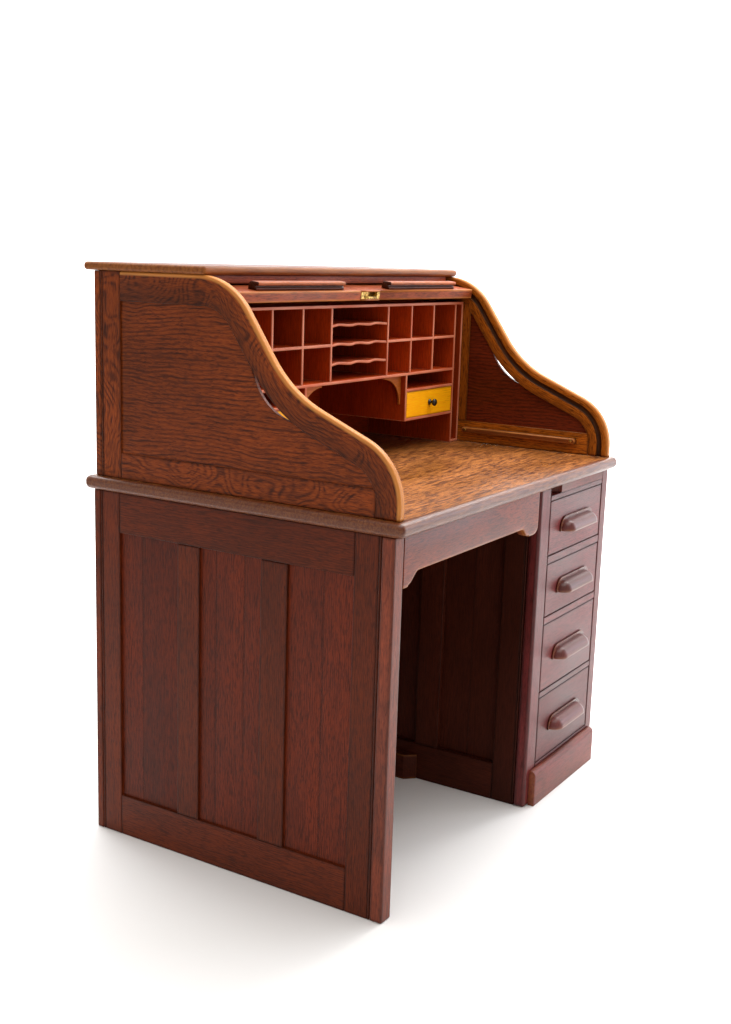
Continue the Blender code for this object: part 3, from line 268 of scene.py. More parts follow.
def assemble(name, parts, body, material, nodes=(), weighted=True, inner=None, inner_reach=0.0):
    """One object from several surfaces, with grain, edge and tone attributes, riding on a body.

    Faces whose middle lies nearer the desk's middle plane than inner_reach take the inner finish.
    """
    counts = [len(part["points"]) for part in parts]
    starts = np.concatenate([[0], np.cumsum(counts)[:-1]])
    faces = [[v + int(start) for v in face] for part, start in zip(parts, starts) for face in part["faces"]]
    mesh = bpy.data.meshes.new(name)
    mesh.from_pydata(np.vstack([part["points"] for part in parts]).tolist(), [], faces)
    shifts = [np.array((7.3, 0.0, 0.0)) * part["tone"] for part in parts]
    grain = np.vstack([part["grain"] + shift for part, shift in zip(parts, shifts)])
    edge = np.concatenate([part["edge"] for part in parts])
    tone = np.repeat([part["tone"] for part in parts], counts)
    mesh.attributes.new("grain", "FLOAT_VECTOR", "POINT").data.foreach_set("vector", grain.ravel())
    mesh.attributes.new("edge", "FLOAT", "POINT").data.foreach_set("value", edge)
    mesh.attributes.new("tone", "FLOAT", "POINT").data.foreach_set("value", tone)
    mesh.polygons.foreach_set("use_smooth", np.ones(len(mesh.polygons), bool))
    mesh.materials.append(material)
    if inner:
        mesh.materials.append(inner)
        middles = np.empty(len(mesh.polygons) * 3)
        mesh.polygons.foreach_get("center", middles)
        inside = np.abs(middles.reshape(-1, 3)[:, 0]) < inner_reach
        mesh.polygons.foreach_set("material_index", inside.astype(np.int32))
    obj = bpy.data.objects.new(name, mesh)
    bpy.context.scene.collection.objects.link(obj)
    if weighted:
        modifier = obj.modifiers.new("flat_faces", "WEIGHTED_NORMAL")
        modifier.keep_sharp = True
    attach(obj, body)
    if nodes:
        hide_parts(*nodes)


# ---------------------------------------------------------------- the S of the sides
S_FRONT = -0.3597
S_FOOT = 0.0249
S_LOWER_RADIUS = 0.1217
S_MIDDLE_SLOPE = math.radians(22.96)
S_MIDDLE_RUN = 0.1096
S_HOLLOW_RADIUS = 0.2432
S_UPPER_SLOPE = math.radians(55.5)
S_UPPER_RUN = 0.1004
S_UPPER_RADIUS = 0.1376
SURFACE_Z = 0.762
SHRINK_SPAN = (0.376, 0.764)
SHRINK_DEPTHS = {"left": 0.0175, "right": 0.0128}


def s_line(offset, distances, extra_run=0.0):
    """Points and headings at distances along the S, moved inwards by offset.

    The S is a straight foot, an arc, a straight, an arc the other way, a straight and an arc to level.
    Its heading is a piecewise linear function of distance, and the points are that heading's exact integral.
    """
    lower = S_LOWER_RADIUS - offset
    hollow = S_HOLLOW_RADIUS + offset
    upper = S_UPPER_RADIUS - offset
    upright = math.pi / 2
    heading_ends = [upright, upright, *[S_MIDDLE_SLOPE] * 2, *[S_UPPER_SLOPE] * 2, 0.0, 0.0]
    lengths = [
        S_FOOT,
        (upright - S_MIDDLE_SLOPE) * lower,
        S_MIDDLE_RUN,
        (S_UPPER_SLOPE - S_MIDDLE_SLOPE) * hollow,
        S_UPPER_RUN,
        S_UPPER_SLOPE * upper,
        extra_run + 1e-6,
    ]
    ends = np.concatenate([[0.0], np.cumsum(lengths)])
    fine = np.linspace(0.0, ends[-1], 6001)
    heading = np.interp(fine, ends, heading_ends)
    step = fine[1] - fine[0]
    middle = (heading[1:] + heading[:-1]) / 2
    y = S_FRONT + offset + np.concatenate([[0.0], np.cumsum(np.cos(middle))]) * step
    z = SURFACE_Z + np.concatenate([[0.0], np.cumsum(np.sin(middle))]) * step
    distances = np.asarray(distances)
    points = np.column_stack([np.interp(distances, fine, y), np.interp(distances, fine, z)])
    return points, np.interp(distances, fine, heading), ends


# ---------------------------------------------------------------- finishes
# near-black for edges with a negative value: dirt and wax in the joints, and painted shade in grooves,
# undercuts and gaps between parts
DIRT_AND_SHADE_COLOUR = "140703"


def add(tree, kind, inputs, output=0, stops=(), **settings):
    """Adds a shader node with its settings, input values and links, and returns one of its outputs.

    stops are the grey levels of a colour ramp, as position and level pairs.
    """
    node = tree.nodes.new("ShaderNode" + kind)
    for key, value in settings.items():
        setattr(node, key, value)
    if stops:
        elements = node.color_ramp.elements
        while len(elements) < len(stops):
            elements.new(0.5)
        for element, (position, level) in zip(elements, stops):
            element.position = position
            element.color = (level, level, level, 1)
    for key, value in inputs.items():
        if isinstance(value, bpy.types.NodeSocket):
            tree.links.new(value, node.inputs[key])
        else:
            node.inputs[key].default_value = value
    return node.outputs[output]


def blank(name):
    """A new material, its node tree and its shader."""
    material = bpy.data.materials.new(name)
    material.use_nodes = True
    tree = material.node_tree
    return material, tree, tree.nodes["Principled BSDF"]


def stained_oak(name, base, deep, worn, look):
    """Stained and varnished oak.

    Gives the eye growth lines that run straight on quarter-sawn boards and in cathedral arches on plain-sawn
    ones, short dark pores, ray flecks, tone steps from board to board, rubbed edges that double as painted
    highlights, edges darkened by dirt and painted shade, and a satin varnish.
    The rings are shells round a pith that lies under the board: radius = sqrt(across^2 + depth^2), where the
    depth swings slowly along the grain. look gives each finish's own amounts.
    """
    material, tree, shader = blank(name)
    if "turn" in look:
        raw = add(tree, "TexCoord", {}, "Object")
        vector = add(tree, "Mapping", {"Vector": raw, "Rotation": look["turn"]})
        tone = 0.5
        edge = 0.0
    else:
        vector = add(tree, "Attribute", {}, "Vector", attribute_name="grain")
        tone = add(tree, "Attribute", {}, "Fac", attribute_name="tone")
        edge = add(tree, "Attribute", {}, "Fac", attribute_name="edge")

    # the fibres wander by a few millimetres over a hand's length
    drift_at = add(tree, "Mapping", {"Vector": vector, "Scale": (7.0, 9.0, 9.0)})
    drift = add(tree, "TexNoise", {"Vector": drift_at, "Scale": 1.0, "Detail": 2.0}, "Color")
    centred = add(tree, "VectorMath", {0: drift, 1: (0.5, 0.5, 0.5)}, operation="SUBTRACT")
    pushed = add(tree, "VectorMath", {0: centred, 3: look.get("wander", 0.012)}, operation="SCALE")
    wavy = add(tree, "VectorMath", {0: vector, 1: pushed})

    # each pattern's scale is in cells per metre along, across and through the grain; pores are drawn about
    # 1.2 mm wide and 16 mm long, which is coarser than they are, so that they show
    patterns = {}
    for pattern, place, scale, detail, twist in (
        ("arches", wavy, look.get("arches", (5.0, 7.0, 7.0)), 2.0, 0.0),
        ("patches", wavy, (16.0, 150.0, 150.0), 3.0, 0.0),
        ("pores", wavy, (60.0, 800.0, 800.0), 2.0, 0.0),
        ("flecks", wavy, look.get("fleck_scale", (48.0, 400.0, 400.0)), 2.5, 0.8),
        ("clouds", vector, (3.0, 9.0, 9.0), 3.0, 0.0),
        ("fibres", wavy, (24.0, 500.0, 500.0), 3.0, 0.0),
        ("rubbing", vector, (11.0, 150.0, 150.0), 3.0, 0.0),
    ):
        at = add(tree, "Mapping", {"Vector": place, "Scale": scale})
        inputs = {"Vector": at, "Scale": 1.0, "Detail": detail, "Distortion": twist}
        patterns[pattern] = add(tree, "TexNoise", inputs, "Fac")

    # every level is a value taken from one span to another
    levels = {}
    for level, value, span, target in (
        ("swing", patterns["arches"], (0.3, 0.7), (-1.0, 1.0)),
        ("shift", tone, (0.0, 1.0), (-0.05, 0.05)),
        ("patches", patterns["patches"], (0.36, 0.62), (0.12, 1.0)),
        ("clouds", patterns["clouds"], (0.3, 0.7), (look.get("cloud", 0.76), 1.2)),
        ("boards", tone, (0.0, 1.0), (look.get("step", 0.74), 1.18)),
        ("fibres", patterns["fibres"], (0.3, 0.7), (0.82, 1.16)),
        ("roughness", patterns["clouds"], (0.3, 0.7), (look["rough"] - 0.06, look["rough"] + 0.1)),
    ):
        inputs = {"Value": value, "From Min": span[0], "From Max": span[1]}
        levels[level] = add(tree, "MapRange", {**inputs, "To Min": target[0], "To Max": target[1]})

    swing = {0: levels["swing"], 1: look.get("swing", 0.004), 2: look.get("pith", 0.006)}
    depth = add(tree, "Math", swing, operation="MULTIPLY_ADD")
    across = add(tree, "SeparateXYZ", {0: wavy}, "Y")
    aside = add(tree, "Math", {0: across, 1: levels["shift"]}, operation="ADD")
    across_squared = add(tree, "Math", {0: aside, 1: aside}, operation="MULTIPLY")
    depth_squared = add(tree, "Math", {0: depth, 1: depth}, operation="MULTIPLY")
    radius_squared = add(tree, "Math", {0: across_squared, 1: depth_squared}, operation="ADD")
    radius = add(tree, "Math", {0: radius_squared}, operation="SQRT")
    # rings are 4.2 mm apart, or 8.5 mm on plain-sawn boards: wider than in the tree, so that they still show
    turns = add(tree, "Math", {0: radius, 1: 2 * math.pi / look.get("ring", 0.0042)}, operation="MULTIPLY")
    wave = add(tree, "Math", {0: turns}, operation="SINE")
    lines = add(tree, "MapRange", {"Value": wave, "From Min": -1.0})
    late_wood = add(tree, "ValToRGB", {"Fac": lines}, stops=((0.25, 0.0), (0.75, 0.55), (1.0, 1.0)))
    patchy = add(tree, "Math", {0: late_wood, 1: levels["patches"]}, operation="MULTIPLY")
    ring_amount = add(tree, "Math", {0: patchy, 1: look["rings"]}, operation="MULTIPLY")
    pores = add(tree, "ValToRGB", {"Fac": patterns["pores"]}, stops=((0.50, 0.0), (0.64, 1.0)))
    pore_amount = add(tree, "Math", {0: pores, 1: look["pores"]}, operation="MULTIPLY")
    fleck_stops = look.get("fleck_at", ((0.52, 0.0), (0.64, 1.0)))
    flecks = add(tree, "ValToRGB", {"Fac": patterns["flecks"]}, stops=fleck_stops)
    fleck_amount = add(tree, "Math", {0: flecks, 1: look["flecks"]}, operation="MULTIPLY")
    # rubbing shows on rounded edges only, and it follows the fibres; on the stained oak the rubbed colour is
    # real wear and also a painted highlight along the rounded edges
    rub_stops = ((0.32, look.get("rub_low", 0.4)), (0.58, 1.0))
    rubbing = add(tree, "ValToRGB", {"Fac": patterns["rubbing"]}, stops=rub_stops)
    rubbed_and_lit_edge = add(tree, "Math", {0: edge, 1: rubbing}, operation="MULTIPLY")
    rub_and_highlight_amount = add(tree, "Math", {0: rubbed_and_lit_edge, 1: look["wear"]}, operation="MULTIPLY")
    # a negative edge value darkens a corner: wax and dirt in the joints, and painted shade in grooves,
    # undercuts and gaps between parts
    dirt_and_shade_amount = add(tree, "Math", {0: edge, 1: -0.85}, operation="MULTIPLY")

    cloudy = add(tree, "Math", {0: levels["clouds"], 1: levels["boards"]}, operation="MULTIPLY")
    light = add(tree, "Math", {0: cloudy, 1: levels["fibres"]}, operation="MULTIPLY")
    stained = add(tree, "VectorMath", {0: base, 3: light}, operation="SCALE")
    for amount, layer in (
        (ring_amount, deep),
        (fleck_amount, look.get("fleck_colour", deep)),
        (pore_amount, deep),
        (rub_and_highlight_amount, look.get("worn", worn)),
        (dirt_and_shade_amount, linear(DIRT_AND_SHADE_COLOUR)),
    ):
        stained = add(tree, "Mix", {"Factor": amount, 6: stained, 7: (*layer, 1)}, 2, data_type="RGBA")
    tree.links.new(stained, shader.inputs["Base Color"])
    tree.links.new(levels["roughness"], shader.inputs["Roughness"])
    relief = add(tree, "Math", {0: pore_amount, 1: ring_amount}, operation="ADD")
    inputs = {"Height": relief, "Strength": look.get("bump", 0.3), "Distance": 0.0005}
    tree.links.new(add(tree, "Bump", inputs, invert=True), shader.inputs["Normal"])
    shader.inputs["Specular IOR Level"].default_value = look.get("gloss", 0.16)
    shader.inputs["Coat Weight"].default_value = look.get("coat", 0.03)
    shader.inputs["Coat Roughness"].default_value = 0.25
    return material


def worn_brass(name, base):
    """Cast brass, handled for a century: warm metal with dark tarnish in patches and fine scratches."""
    material, tree, shader = blank(name)
    raw = add(tree, "TexCoord", {}, "Object")
    tarnish = add(tree, "TexNoise", {"Vector": raw, "Scale": 220.0, "Detail": 4.0}, "Fac")
    mask = add(tree, "ValToRGB", {"Fac": tarnish}, stops=((0.42, 0.0), (0.62, 0.75)))
    layers = {"Factor": mask, 6: (*base, 1), 7: (*linear("4A3414"), 1)}
    tree.links.new(add(tree, "Mix", layers, 2, data_type="RGBA"), shader.inputs["Base Color"])
    roughness = add(tree, "MapRange", {"Value": tarnish, "To Min": 0.22, "To Max": 0.5})
    tree.links.new(roughness, shader.inputs["Roughness"])
    shader.inputs["Metallic"].default_value = 1.0
    # scratches are drawn 0.4 mm wide, coarser than they are, so that they catch the light
    scratch_at = add(tree, "Mapping", {"Vector": raw, "Scale": (300.0, 2400.0, 2400.0)})
    scratches = add(tree, "TexNoise", {"Vector": scratch_at, "Scale": 1.0}, "Fac")
    bump = add(tree, "Bump", {"Height": scratches, "Strength": 0.15, "Distance": 0.0002})
    tree.links.new(bump, shader.inputs["Normal"])
    return material


def ebonised_wood(name):
    """Turned maple, stained black and polished: near-black, glossy, with faint turning lines."""
    material, tree, shader = blank(name)
    raw = add(tree, "TexCoord", {}, "Object")
    lines_at = add(tree, "Mapping", {"Vector": raw, "Scale": (60.0, 2600.0, 60.0)})
    turning = add(tree, "TexNoise", {"Vector": lines_at, "Scale": 1.0}, "Fac")
    layers = {"Factor": turning, 6: (*linear("0B0908"), 1), 7: (*linear("2A201A"), 1)}
    tree.links.new(add(tree, "Mix", layers, 2, data_type="RGBA"), shader.inputs["Base Color"])
    roughness = add(tree, "MapRange", {"Value": turning, "To Min": 0.16, "To Max": 0.34})
    tree.links.new(roughness, shader.inputs["Roughness"])
    bump = add(tree, "Bump", {"Height": turning, "Strength": 0.1, "Distance": 0.0002})
    tree.links.new(bump, shader.inputs["Normal"])
    return material


def linen_canvas(name, base):
    """Glued linen canvas: plain weave of 1 mm threads, drawn 2.2 mm apart so that it shows."""
    material, tree, shader = blank(name)
    raw = add(tree, "Attribute", {}, "Vector", attribute_name="grain")
    weave_at = add(tree, "Mapping", {"Vector": raw, "Scale": (450.0, 450.0, 450.0)})
    weave = add(tree, "TexChecker", {"Vector": weave_at, "Scale": 1.0}, "Fac")
    soil = add(tree, "TexNoise", {"Vector": raw, "Scale": 14.0, "Detail": 4.0}, "Fac")
    layers = {"Factor": soil, 6: (*base, 1), 7: (*linear("3A3228"), 1)}
    grip_dirt_and_shade = add(tree, "Mix", layers, 2, data_type="RGBA")
    threads = add(tree, "Math", {0: weave, 1: 0.25}, operation="MULTIPLY")
    layers = {"Factor": threads, 6: grip_dirt_and_shade, 7: (*linear("2B251D"), 1)}
    tree.links.new(add(tree, "Mix", layers, 2, data_type="RGBA"), shader.inputs["Base Color"])
    shader.inputs["Roughness"].default_value = 0.9
    bump = add(tree, "Bump", {"Height": weave, "Strength": 0.3, "Distance": 0.0004})
    tree.links.new(bump, shader.inputs["Normal"])
    return material


def painted_floor(name):
    """Matt white painted studio floor: very pale, a faint cool mottling."""
    material, tree, shader = blank(name)
    raw = add(tree, "TexCoord", {}, "Object")
    mottle = add(tree, "TexNoise", {"Vector": raw, "Scale": 1.3, "Detail": 3.0}, "Fac")
    layers = {"Factor": mottle, 6: (*linear("F4F3F1"), 1), 7: (*linear("FBFAFA"), 1)}
    tree.links.new(add(tree, "Mix", layers, 2, data_type="RGBA"), shader.inputs["Base Color"])
    shader.inputs["Roughness"].default_value = 0.7
    return material


FINISHES = {}


PLAIN_SAWN = {"pith": 0.085, "swing": 0.07, "arches": (4.0, 5.0, 5.0), "ring": 0.0085, "wander": 0.022}


def oak_looks():
    """Each wooden finish's base colour and its own amounts, from the scene's colours."""
    colours = bpy.context.scene.desk_colours
    golden = {"fleck_colour": tuple(colours.golden_fleck), "worn": tuple(colours.top_rim)}
    figured = {"fleck_scale": (40.0, 300.0, 300.0), "rub_low": 0.75, **PLAIN_SAWN}
    wide_flecks = {"fleck_scale": (24.0, 230.0, 230.0), "fleck_at": ((0.46, 0.0), (0.57, 1.0))}
    satin = {"rough": 0.36, "coat": 0.06, "gloss": 0.26}
    polished = {"rough": 0.28, "coat": 0.1, "gloss": 0.34}
    dull = {"rough": 0.5, "coat": 0.0, "gloss": 0.1}
    plain = {"rough": 0.4, "cloud": 0.94, "step": 0.98}
    edges = {"worn": tuple(colours.case_edge), "bump": 0.15}
    return {
        "dark_oak": (colours.dark_oak, (0.4, 0.45, 0.5, 0.7), {"rough": 0.4}),
        "lead_oak": (colours.lead_oak, (0.35, 0.4, 0.4, 0.5), {"rough": 0.42, "gloss": 0.12}),
        "dark_oak_panel": (colours.panel_oak, (0.5, 0.4, 0.55, 0.2), {"rough": 0.42}),
        "figured_oak": (colours.figured_oak, (0.45, 0.75, 0.55, 1.0), {"rough": 0.4, **figured}),
        "golden_oak": (
            colours.golden_oak,
            (0.9, 0.3, 0.45, 0.8),
            {"rough": 0.33, "coat": 0.1, "gloss": 0.42, "rub_low": 0.9, **golden, **wide_flecks},
        ),
        "warm_oak": (colours.warm_oak, (0.6, 0.45, 0.5, 0.7), {"rough": 0.4}),
        "inner_panel": (colours.panel_oak, (0.4, 0.6, 0.5, 0.0), {"rough": 0.42, **PLAIN_SAWN}),
        "front_oak": (colours.front_oak, (0.35, 0.4, 0.4, 0.45), satin),
        "apron_oak": (colours.apron_oak, (0.4, 0.45, 0.45, 0.6), satin),
        "pull_oak": (colours.pull_oak, (0.2, 0.3, 0.3, 0.25), polished),
        "shaded_kneehole_oak": (colours.shaded_kneehole_oak, (0.3, 0.3, 0.3, 0.15), dull),
        "case_wood": (colours.case_wood, (0.15, 0.25, 0.25, 1.0), {"rough": 0.45, **edges}),
        "yellow_ash": (colours.yellow_ash, (0.0, 0.08, 0.08, 0.2), plain),
        "bracket_ash": (colours.bracket_ash, (0.0, 0.15, 0.1, 0.3), {"rough": 0.42, "cloud": 0.9}),
        "raw_wood": (colours.raw_wood, (0.0, 0.4, 0.3, 0.0), {"rough": 0.7, "coat": 0.0}),
    }


def finish(key):
    """The named finish, made on first use.

    A key that ends in _along_x or _along_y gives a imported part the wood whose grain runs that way.
    """
    if key in FINISHES:
        return FINISHES[key]
    colours = bpy.context.scene.desk_colours
    looks = oak_looks()
    stem, _, axis = key.partition("_along_")
    if stem in looks:
        base, amounts, look = looks[stem]
        look = {**dict(zip(("flecks", "rings", "pores", "wear"), amounts)), **look}
        if axis:
            look["turn"] = {"x": (0, 0, 0), "y": (0, 0, -math.pi / 2)}[axis]
        made = stained_oak(key, tuple(base), tuple(colours.dark_oak_deep), tuple(colours.worn_and_lit_edge), look)
    elif key == "worn_brass":
        made = worn_brass(key, tuple(colours.brass))
    elif key == "ebonised":
        made = ebonised_wood(key)
    elif key == "canvas":
        made = linen_canvas(key, tuple(colours.canvas))
    else:
        raise ValueError(f"no finish named {key}")
    FINISHES[key] = made
    return made


class DeskBuilder:
    """What the operators share: each of them can be undone."""

    bl_options = {"REGISTER", "UNDO"}


# ---------------------------------------------------------------- framed ends
CRACK = 0.0004
BEAD_PROUD = 0.0006
HIDDEN_FRAME = 0.0122
HIDDEN_TONGUE = 0.0115
PANEL_THICKNESS = 0.008
REAR_POST = 0.0165
REAR_POST_EDGE = 0.002


def bead_strip(low, high):
    """Upright bead between a post and the frame beside it."""
    return board(low, high, 2, 0.0021, 3, 0.0005)


def panel_spans():
    """Y spans of the three openings and their bottom and top, read from the left end's panels."""
    tongue = bpy.context.scene.desk_sizes.panel_tongue
    spans = []
    for place in ("front", "middle", "rear"):
        low, high = corners(f"left_end_panel_{place}")
        spans.append((low[1] + tongue, high[1] - tongue))
    return spans, low[2] + tongue, high[2] - tongue


def framed_side(x_outer, x_inner, y_front, y_back, z_low, z_high):
    """Stiles and rails between two Y lines: full-height outer stiles, rails and short inner stiles."""
    sizes = bpy.context.scene.desk_sizes
    rounding = sizes.edge_rounding
    spans, bottom, top = panel_spans()
    crack = 0.00025
    edges = [y_front, *[y for span in spans for y in span], y_back]
    members = (
        (edges[0], edges[1] - crack, z_low, z_high, 2),
        (edges[6] + crack, edges[7], z_low, z_high, 2),
        (edges[1] + crack, edges[6] - crack, z_low, bottom - crack, 1),
        (edges[1] + crack, edges[6] - crack, top + crack, z_high, 1),
        (edges[2], edges[3], bottom + crack, top - crack, 2),
        (edges[4], edges[5], bottom + crack, top - crack, 2),
    )
    return [
        board((x_outer, y0, z0), (x_inner, y1, z1), grain_axis, rounding)
        for y0, y1, z0, z1, grain_axis in members
    ]


def glued_panel(x_face, x_back, span, bottom, top, splits, tongue):
    """A panel glued up from boards with their grain upright and close tight joints."""
    y0 = span[0] - tongue
    y1 = span[1] + tongue
    cuts = [y0, *[y0 + (y1 - y0) * s for s in splits], y1]
    return [
        board((x_face, a, bottom - tongue), (x_back, b, top + tongue), 2, 0.0002, 1)
        for a, b in zip(cuts, cuts[1:])
    ]


class DESK_OT_left_end(DeskBuilder, bpy.types.Operator):
    """Left end: two posts with beads, a frame of six members and three panels"""

    bl_idname = "desk.left_end"
    bl_label = "Left end"

    def execute(self, context):
        sizes = context.scene.desk_sizes
        post_low, post_high = corners("left_front_post")
        rear_low, rear_high = corners("left_rear_post")
        low, high = corners("left_end_frame")
        bead = sizes.bead_width
        proud = low[0] - BEAD_PROUD
        front = board(post_low, post_high, 2, sizes.post_rounding, 3)
        oak = finish("apron_oak")
        assemble("left_front_post_board", [front], "desk", oak, ["left_front_post"])
        rear = board(rear_low, rear_high, 2, REAR_POST_EDGE, 3)
        assemble("left_rear_post_board", [rear], "desk", finish("dark_oak"), ["left_rear_post"])
        y0 = low[1] + CRACK
        y1 = high[1] - CRACK
        parts = framed_side(low[0], high[0], y0 + bead + CRACK, y1 - bead - CRACK, low[2], high[2])
        parts += [
            bead_strip((proud, y0, low[2]), (high[0], y0 + bead, high[2])),
            bead_strip((proud, y1 - bead, low[2]), (high[0], y1, high[2])),
        ]
        assemble("left_end_joinery", parts, "desk", finish("dark_oak"), ["left_end_frame"])
        spans, bottom, top = panel_spans()
        face = low[0] + sizes.panel_recess
        splits = {"front": (0.46,), "middle": (0.30, 0.72), "rear": (0.62,)}
        oak = finish("dark_oak_panel")
        for span, place in zip(spans, ("front", "middle", "rear")):
            back = face + PANEL_THICKNESS
            parts = glued_panel(face, back, span, bottom, top, splits[place], sizes.panel_tongue)
            replaced = [f"left_end_panel_{place}"]
            assemble(f"left_end_{place}_panel", parts, "desk", oak, replaced)
        return {"FINISHED"}


class DESK_OT_right_end(DeskBuilder, bpy.types.Operator):
    """Right end: a frame of six members over three upright panels"""

    bl_idname = "desk.right_end"
    bl_label = "Right end"

    def execute(self, context):
        sizes = context.scene.desk_sizes
        low, high = corners("right_end_frame")
        bead = sizes.bead_width
        back = high[1] - REAR_POST
        proud = high[0] + BEAD_PROUD
        parts = framed_side(high[0] - HIDDEN_FRAME, high[0], low[1] + bead, back - bead, low[2], high[2])
        parts += [
            bead_strip(low, (proud, low[1] + bead - CRACK, high[2])),
            bead_strip((low[0], back - bead + CRACK, low[2]), (proud, back, high[2])),
            board((low[0], back + CRACK, low[2]), (proud, high[1], high[2]), 2, REAR_POST_EDGE, 3),
        ]
        assemble("right_end_joinery", parts, "desk", finish("dark_oak"), ["right_end_frame"])
        spans, bottom, top = panel_spans()
        face = high[0] - HIDDEN_FRAME - CRACK
        parts = []
        for span, splits in zip(spans, ((0.55,), (0.35, 0.7), (0.4,))):
            parts += glued_panel(face - PANEL_THICKNESS, face, span, bottom, top, splits, HIDDEN_TONGUE)
        oak = finish("dark_oak_panel")
        assemble("right_end_panels", parts, "desk", oak, ["right_end_panel"])
        return {"FINISHED"}


class DESK_OT_kneehole(DeskBuilder, bpy.types.Operator):
    """Kneehole side of the pedestal with its cleat, and the shaped apron over the opening"""

    bl_idname = "desk.kneehole"
    bl_label = "Kneehole"

    def execute(self, context):
        sizes = context.scene.desk_sizes
        low, high = corners("pedestal_inner_frame")
        bead = sizes.bead_width
        # darker oak for the kneehole: painted shade
        oak = finish("shaded_kneehole_oak")
        parts = framed_side(low[0], low[0] + HIDDEN_FRAME, low[1] + bead, high[1], low[2], high[2])
        bead_high = (high[0], low[1] + bead - CRACK, high[2])
        parts.append(bead_strip((low[0] - BEAD_PROUD, low[1], low[2]), bead_high))
        assemble("pedestal_inner_joinery", parts, "desk", oak, ["pedestal_inner_frame"])
        spans, bottom, top = panel_spans()
        face = low[0] + HIDDEN_FRAME + CRACK
        parts = []
        for span, splits in zip(spans, ((0.5,), (0.4, 0.75), (0.6,))):
            parts += glued_panel(face, face + PANEL_THICKNESS, span, bottom, top, splits, HIDDEN_TONGUE)
        assemble("pedestal_inner_panels", parts, "desk", oak, ["pedestal_inner_panel"])
        self.cleat(oak)
        self.apron()
        return {"FINISHED"}

    def cleat(self, oak):
        """A strip along the panel, whose front end slopes back over a length equal to its own thickness."""
        low, high = corners("pedestal_inner_cleat")
        thick = high[0] - low[0]
        tip = 0.0012
        margin = 0.003
        bases, directions, flags, radius = rounded_outline(1.0, 1.0, 0.04, 2, 0.05)
        outline = bases + radius * directions + 0.5
        slope_end = low[1] + thick
        y = np.array([low[1], slope_end, slope_end + margin, high[1] - margin, high[1]])
        reach = np.array([tip, thick, thick, thick, thick])
        rings = np.empty((len(y), len(outline), 3))
        rings[..., 0] = high[0] - reach[:, None] * (1 - outline[None, :, 0])
        rings[..., 1] = y[:, None]
        rings[..., 2] = low[2] + outline[None, :, 1] * (high[2] - low[2])
        block = skin(rings, rings[..., [1, 0, 2]], flags[None])
        assemble("kneehole_cleat_block", [block], "desk", oak, ["pedestal_inner_cleat"])

    def apron(self):
        """The lower edge is a height for each X: level, with a half-cosine drop at both ends.

        The left drop ends in a square tab, and the right one in a lobe that is a quarter ellipse.
        """
        low, high = corners("kneehole_apron")
        level = 0.6605
        tab_foot = 0.636
        tab_width = 0.018
        tab_step = 0.003
        drop_foot = 0.643
        lobe_foot = 0.640
        lobe_width = 0.022
        lobe_height = 0.018
        x = np.linspace(low[0], high[0], 240)
        from_left = x - low[0]
        from_right = high[0] - x
        past_tab = from_left > tab_width - 0.0001
        rise = 0.5 - 0.5 * np.cos(math.pi * np.interp(from_left, (tab_width, 0.056), (0.0, 1.0)))
        left_edge = tab_foot + past_tab * (tab_step + (level - tab_foot - tab_step) * rise)
        drop = 0.5 - 0.5 * np.cos(math.pi * np.interp(from_right, (0.052, 0.079), (1.0, 0.0)))
        right_edge = level - (level - drop_foot) * drop
        into_lobe = np.clip(1 - from_right / lobe_width, 0.0, 1.0)
        lobe = lobe_foot + lobe_height * (1 - np.sqrt(1 - into_lobe**2))
        right_edge = np.where(from_right < 0.045, np.minimum(right_edge, lobe), right_edge)
        right_edge = np.where(from_right < lobe_width, lobe, right_edge)
        edge = np.where(from_left < 0.2, left_edge, right_edge)
        rounding = 0.0016
        y = np.array([low[1], low[1], low[1] + rounding, high[1] - 0.001, high[1], high[1], low[1] + 0.0002])
        up = np.array([0.006, rounding, 0.0, 0.0, 0.001, 1.0, 1.0])
        flags = np.array([0.0, 0.6, 0.8, 0.0, 0.0, 0.0, 0.0])
        rings = np.empty((len(x), len(y), 3))
        rings[..., 0] = x[:, None]
        rings[..., 1] = y[None]
        rings[..., 2] = np.where(up[None] < 1.0, edge[:, None] + up[None], high[2])
        part = skin(rings, rings, flags[None])
        assemble("kneehole_apron_board", [part], "desk", finish("apron_oak"), ["kneehole_apron"])


# ---------------------------------------------------------------- pedestal front and drawers
DRAWER_GAP = 0.0014


def drawer_openings():
    """Opening heights round the four drawers, read from their fronts."""
    found = []
    for number in range(1, 5):
        low, high = corners(f"drawer_{number}_front")
        found.append((low[2] - DRAWER_GAP, high[2] + DRAWER_GAP))
    return found


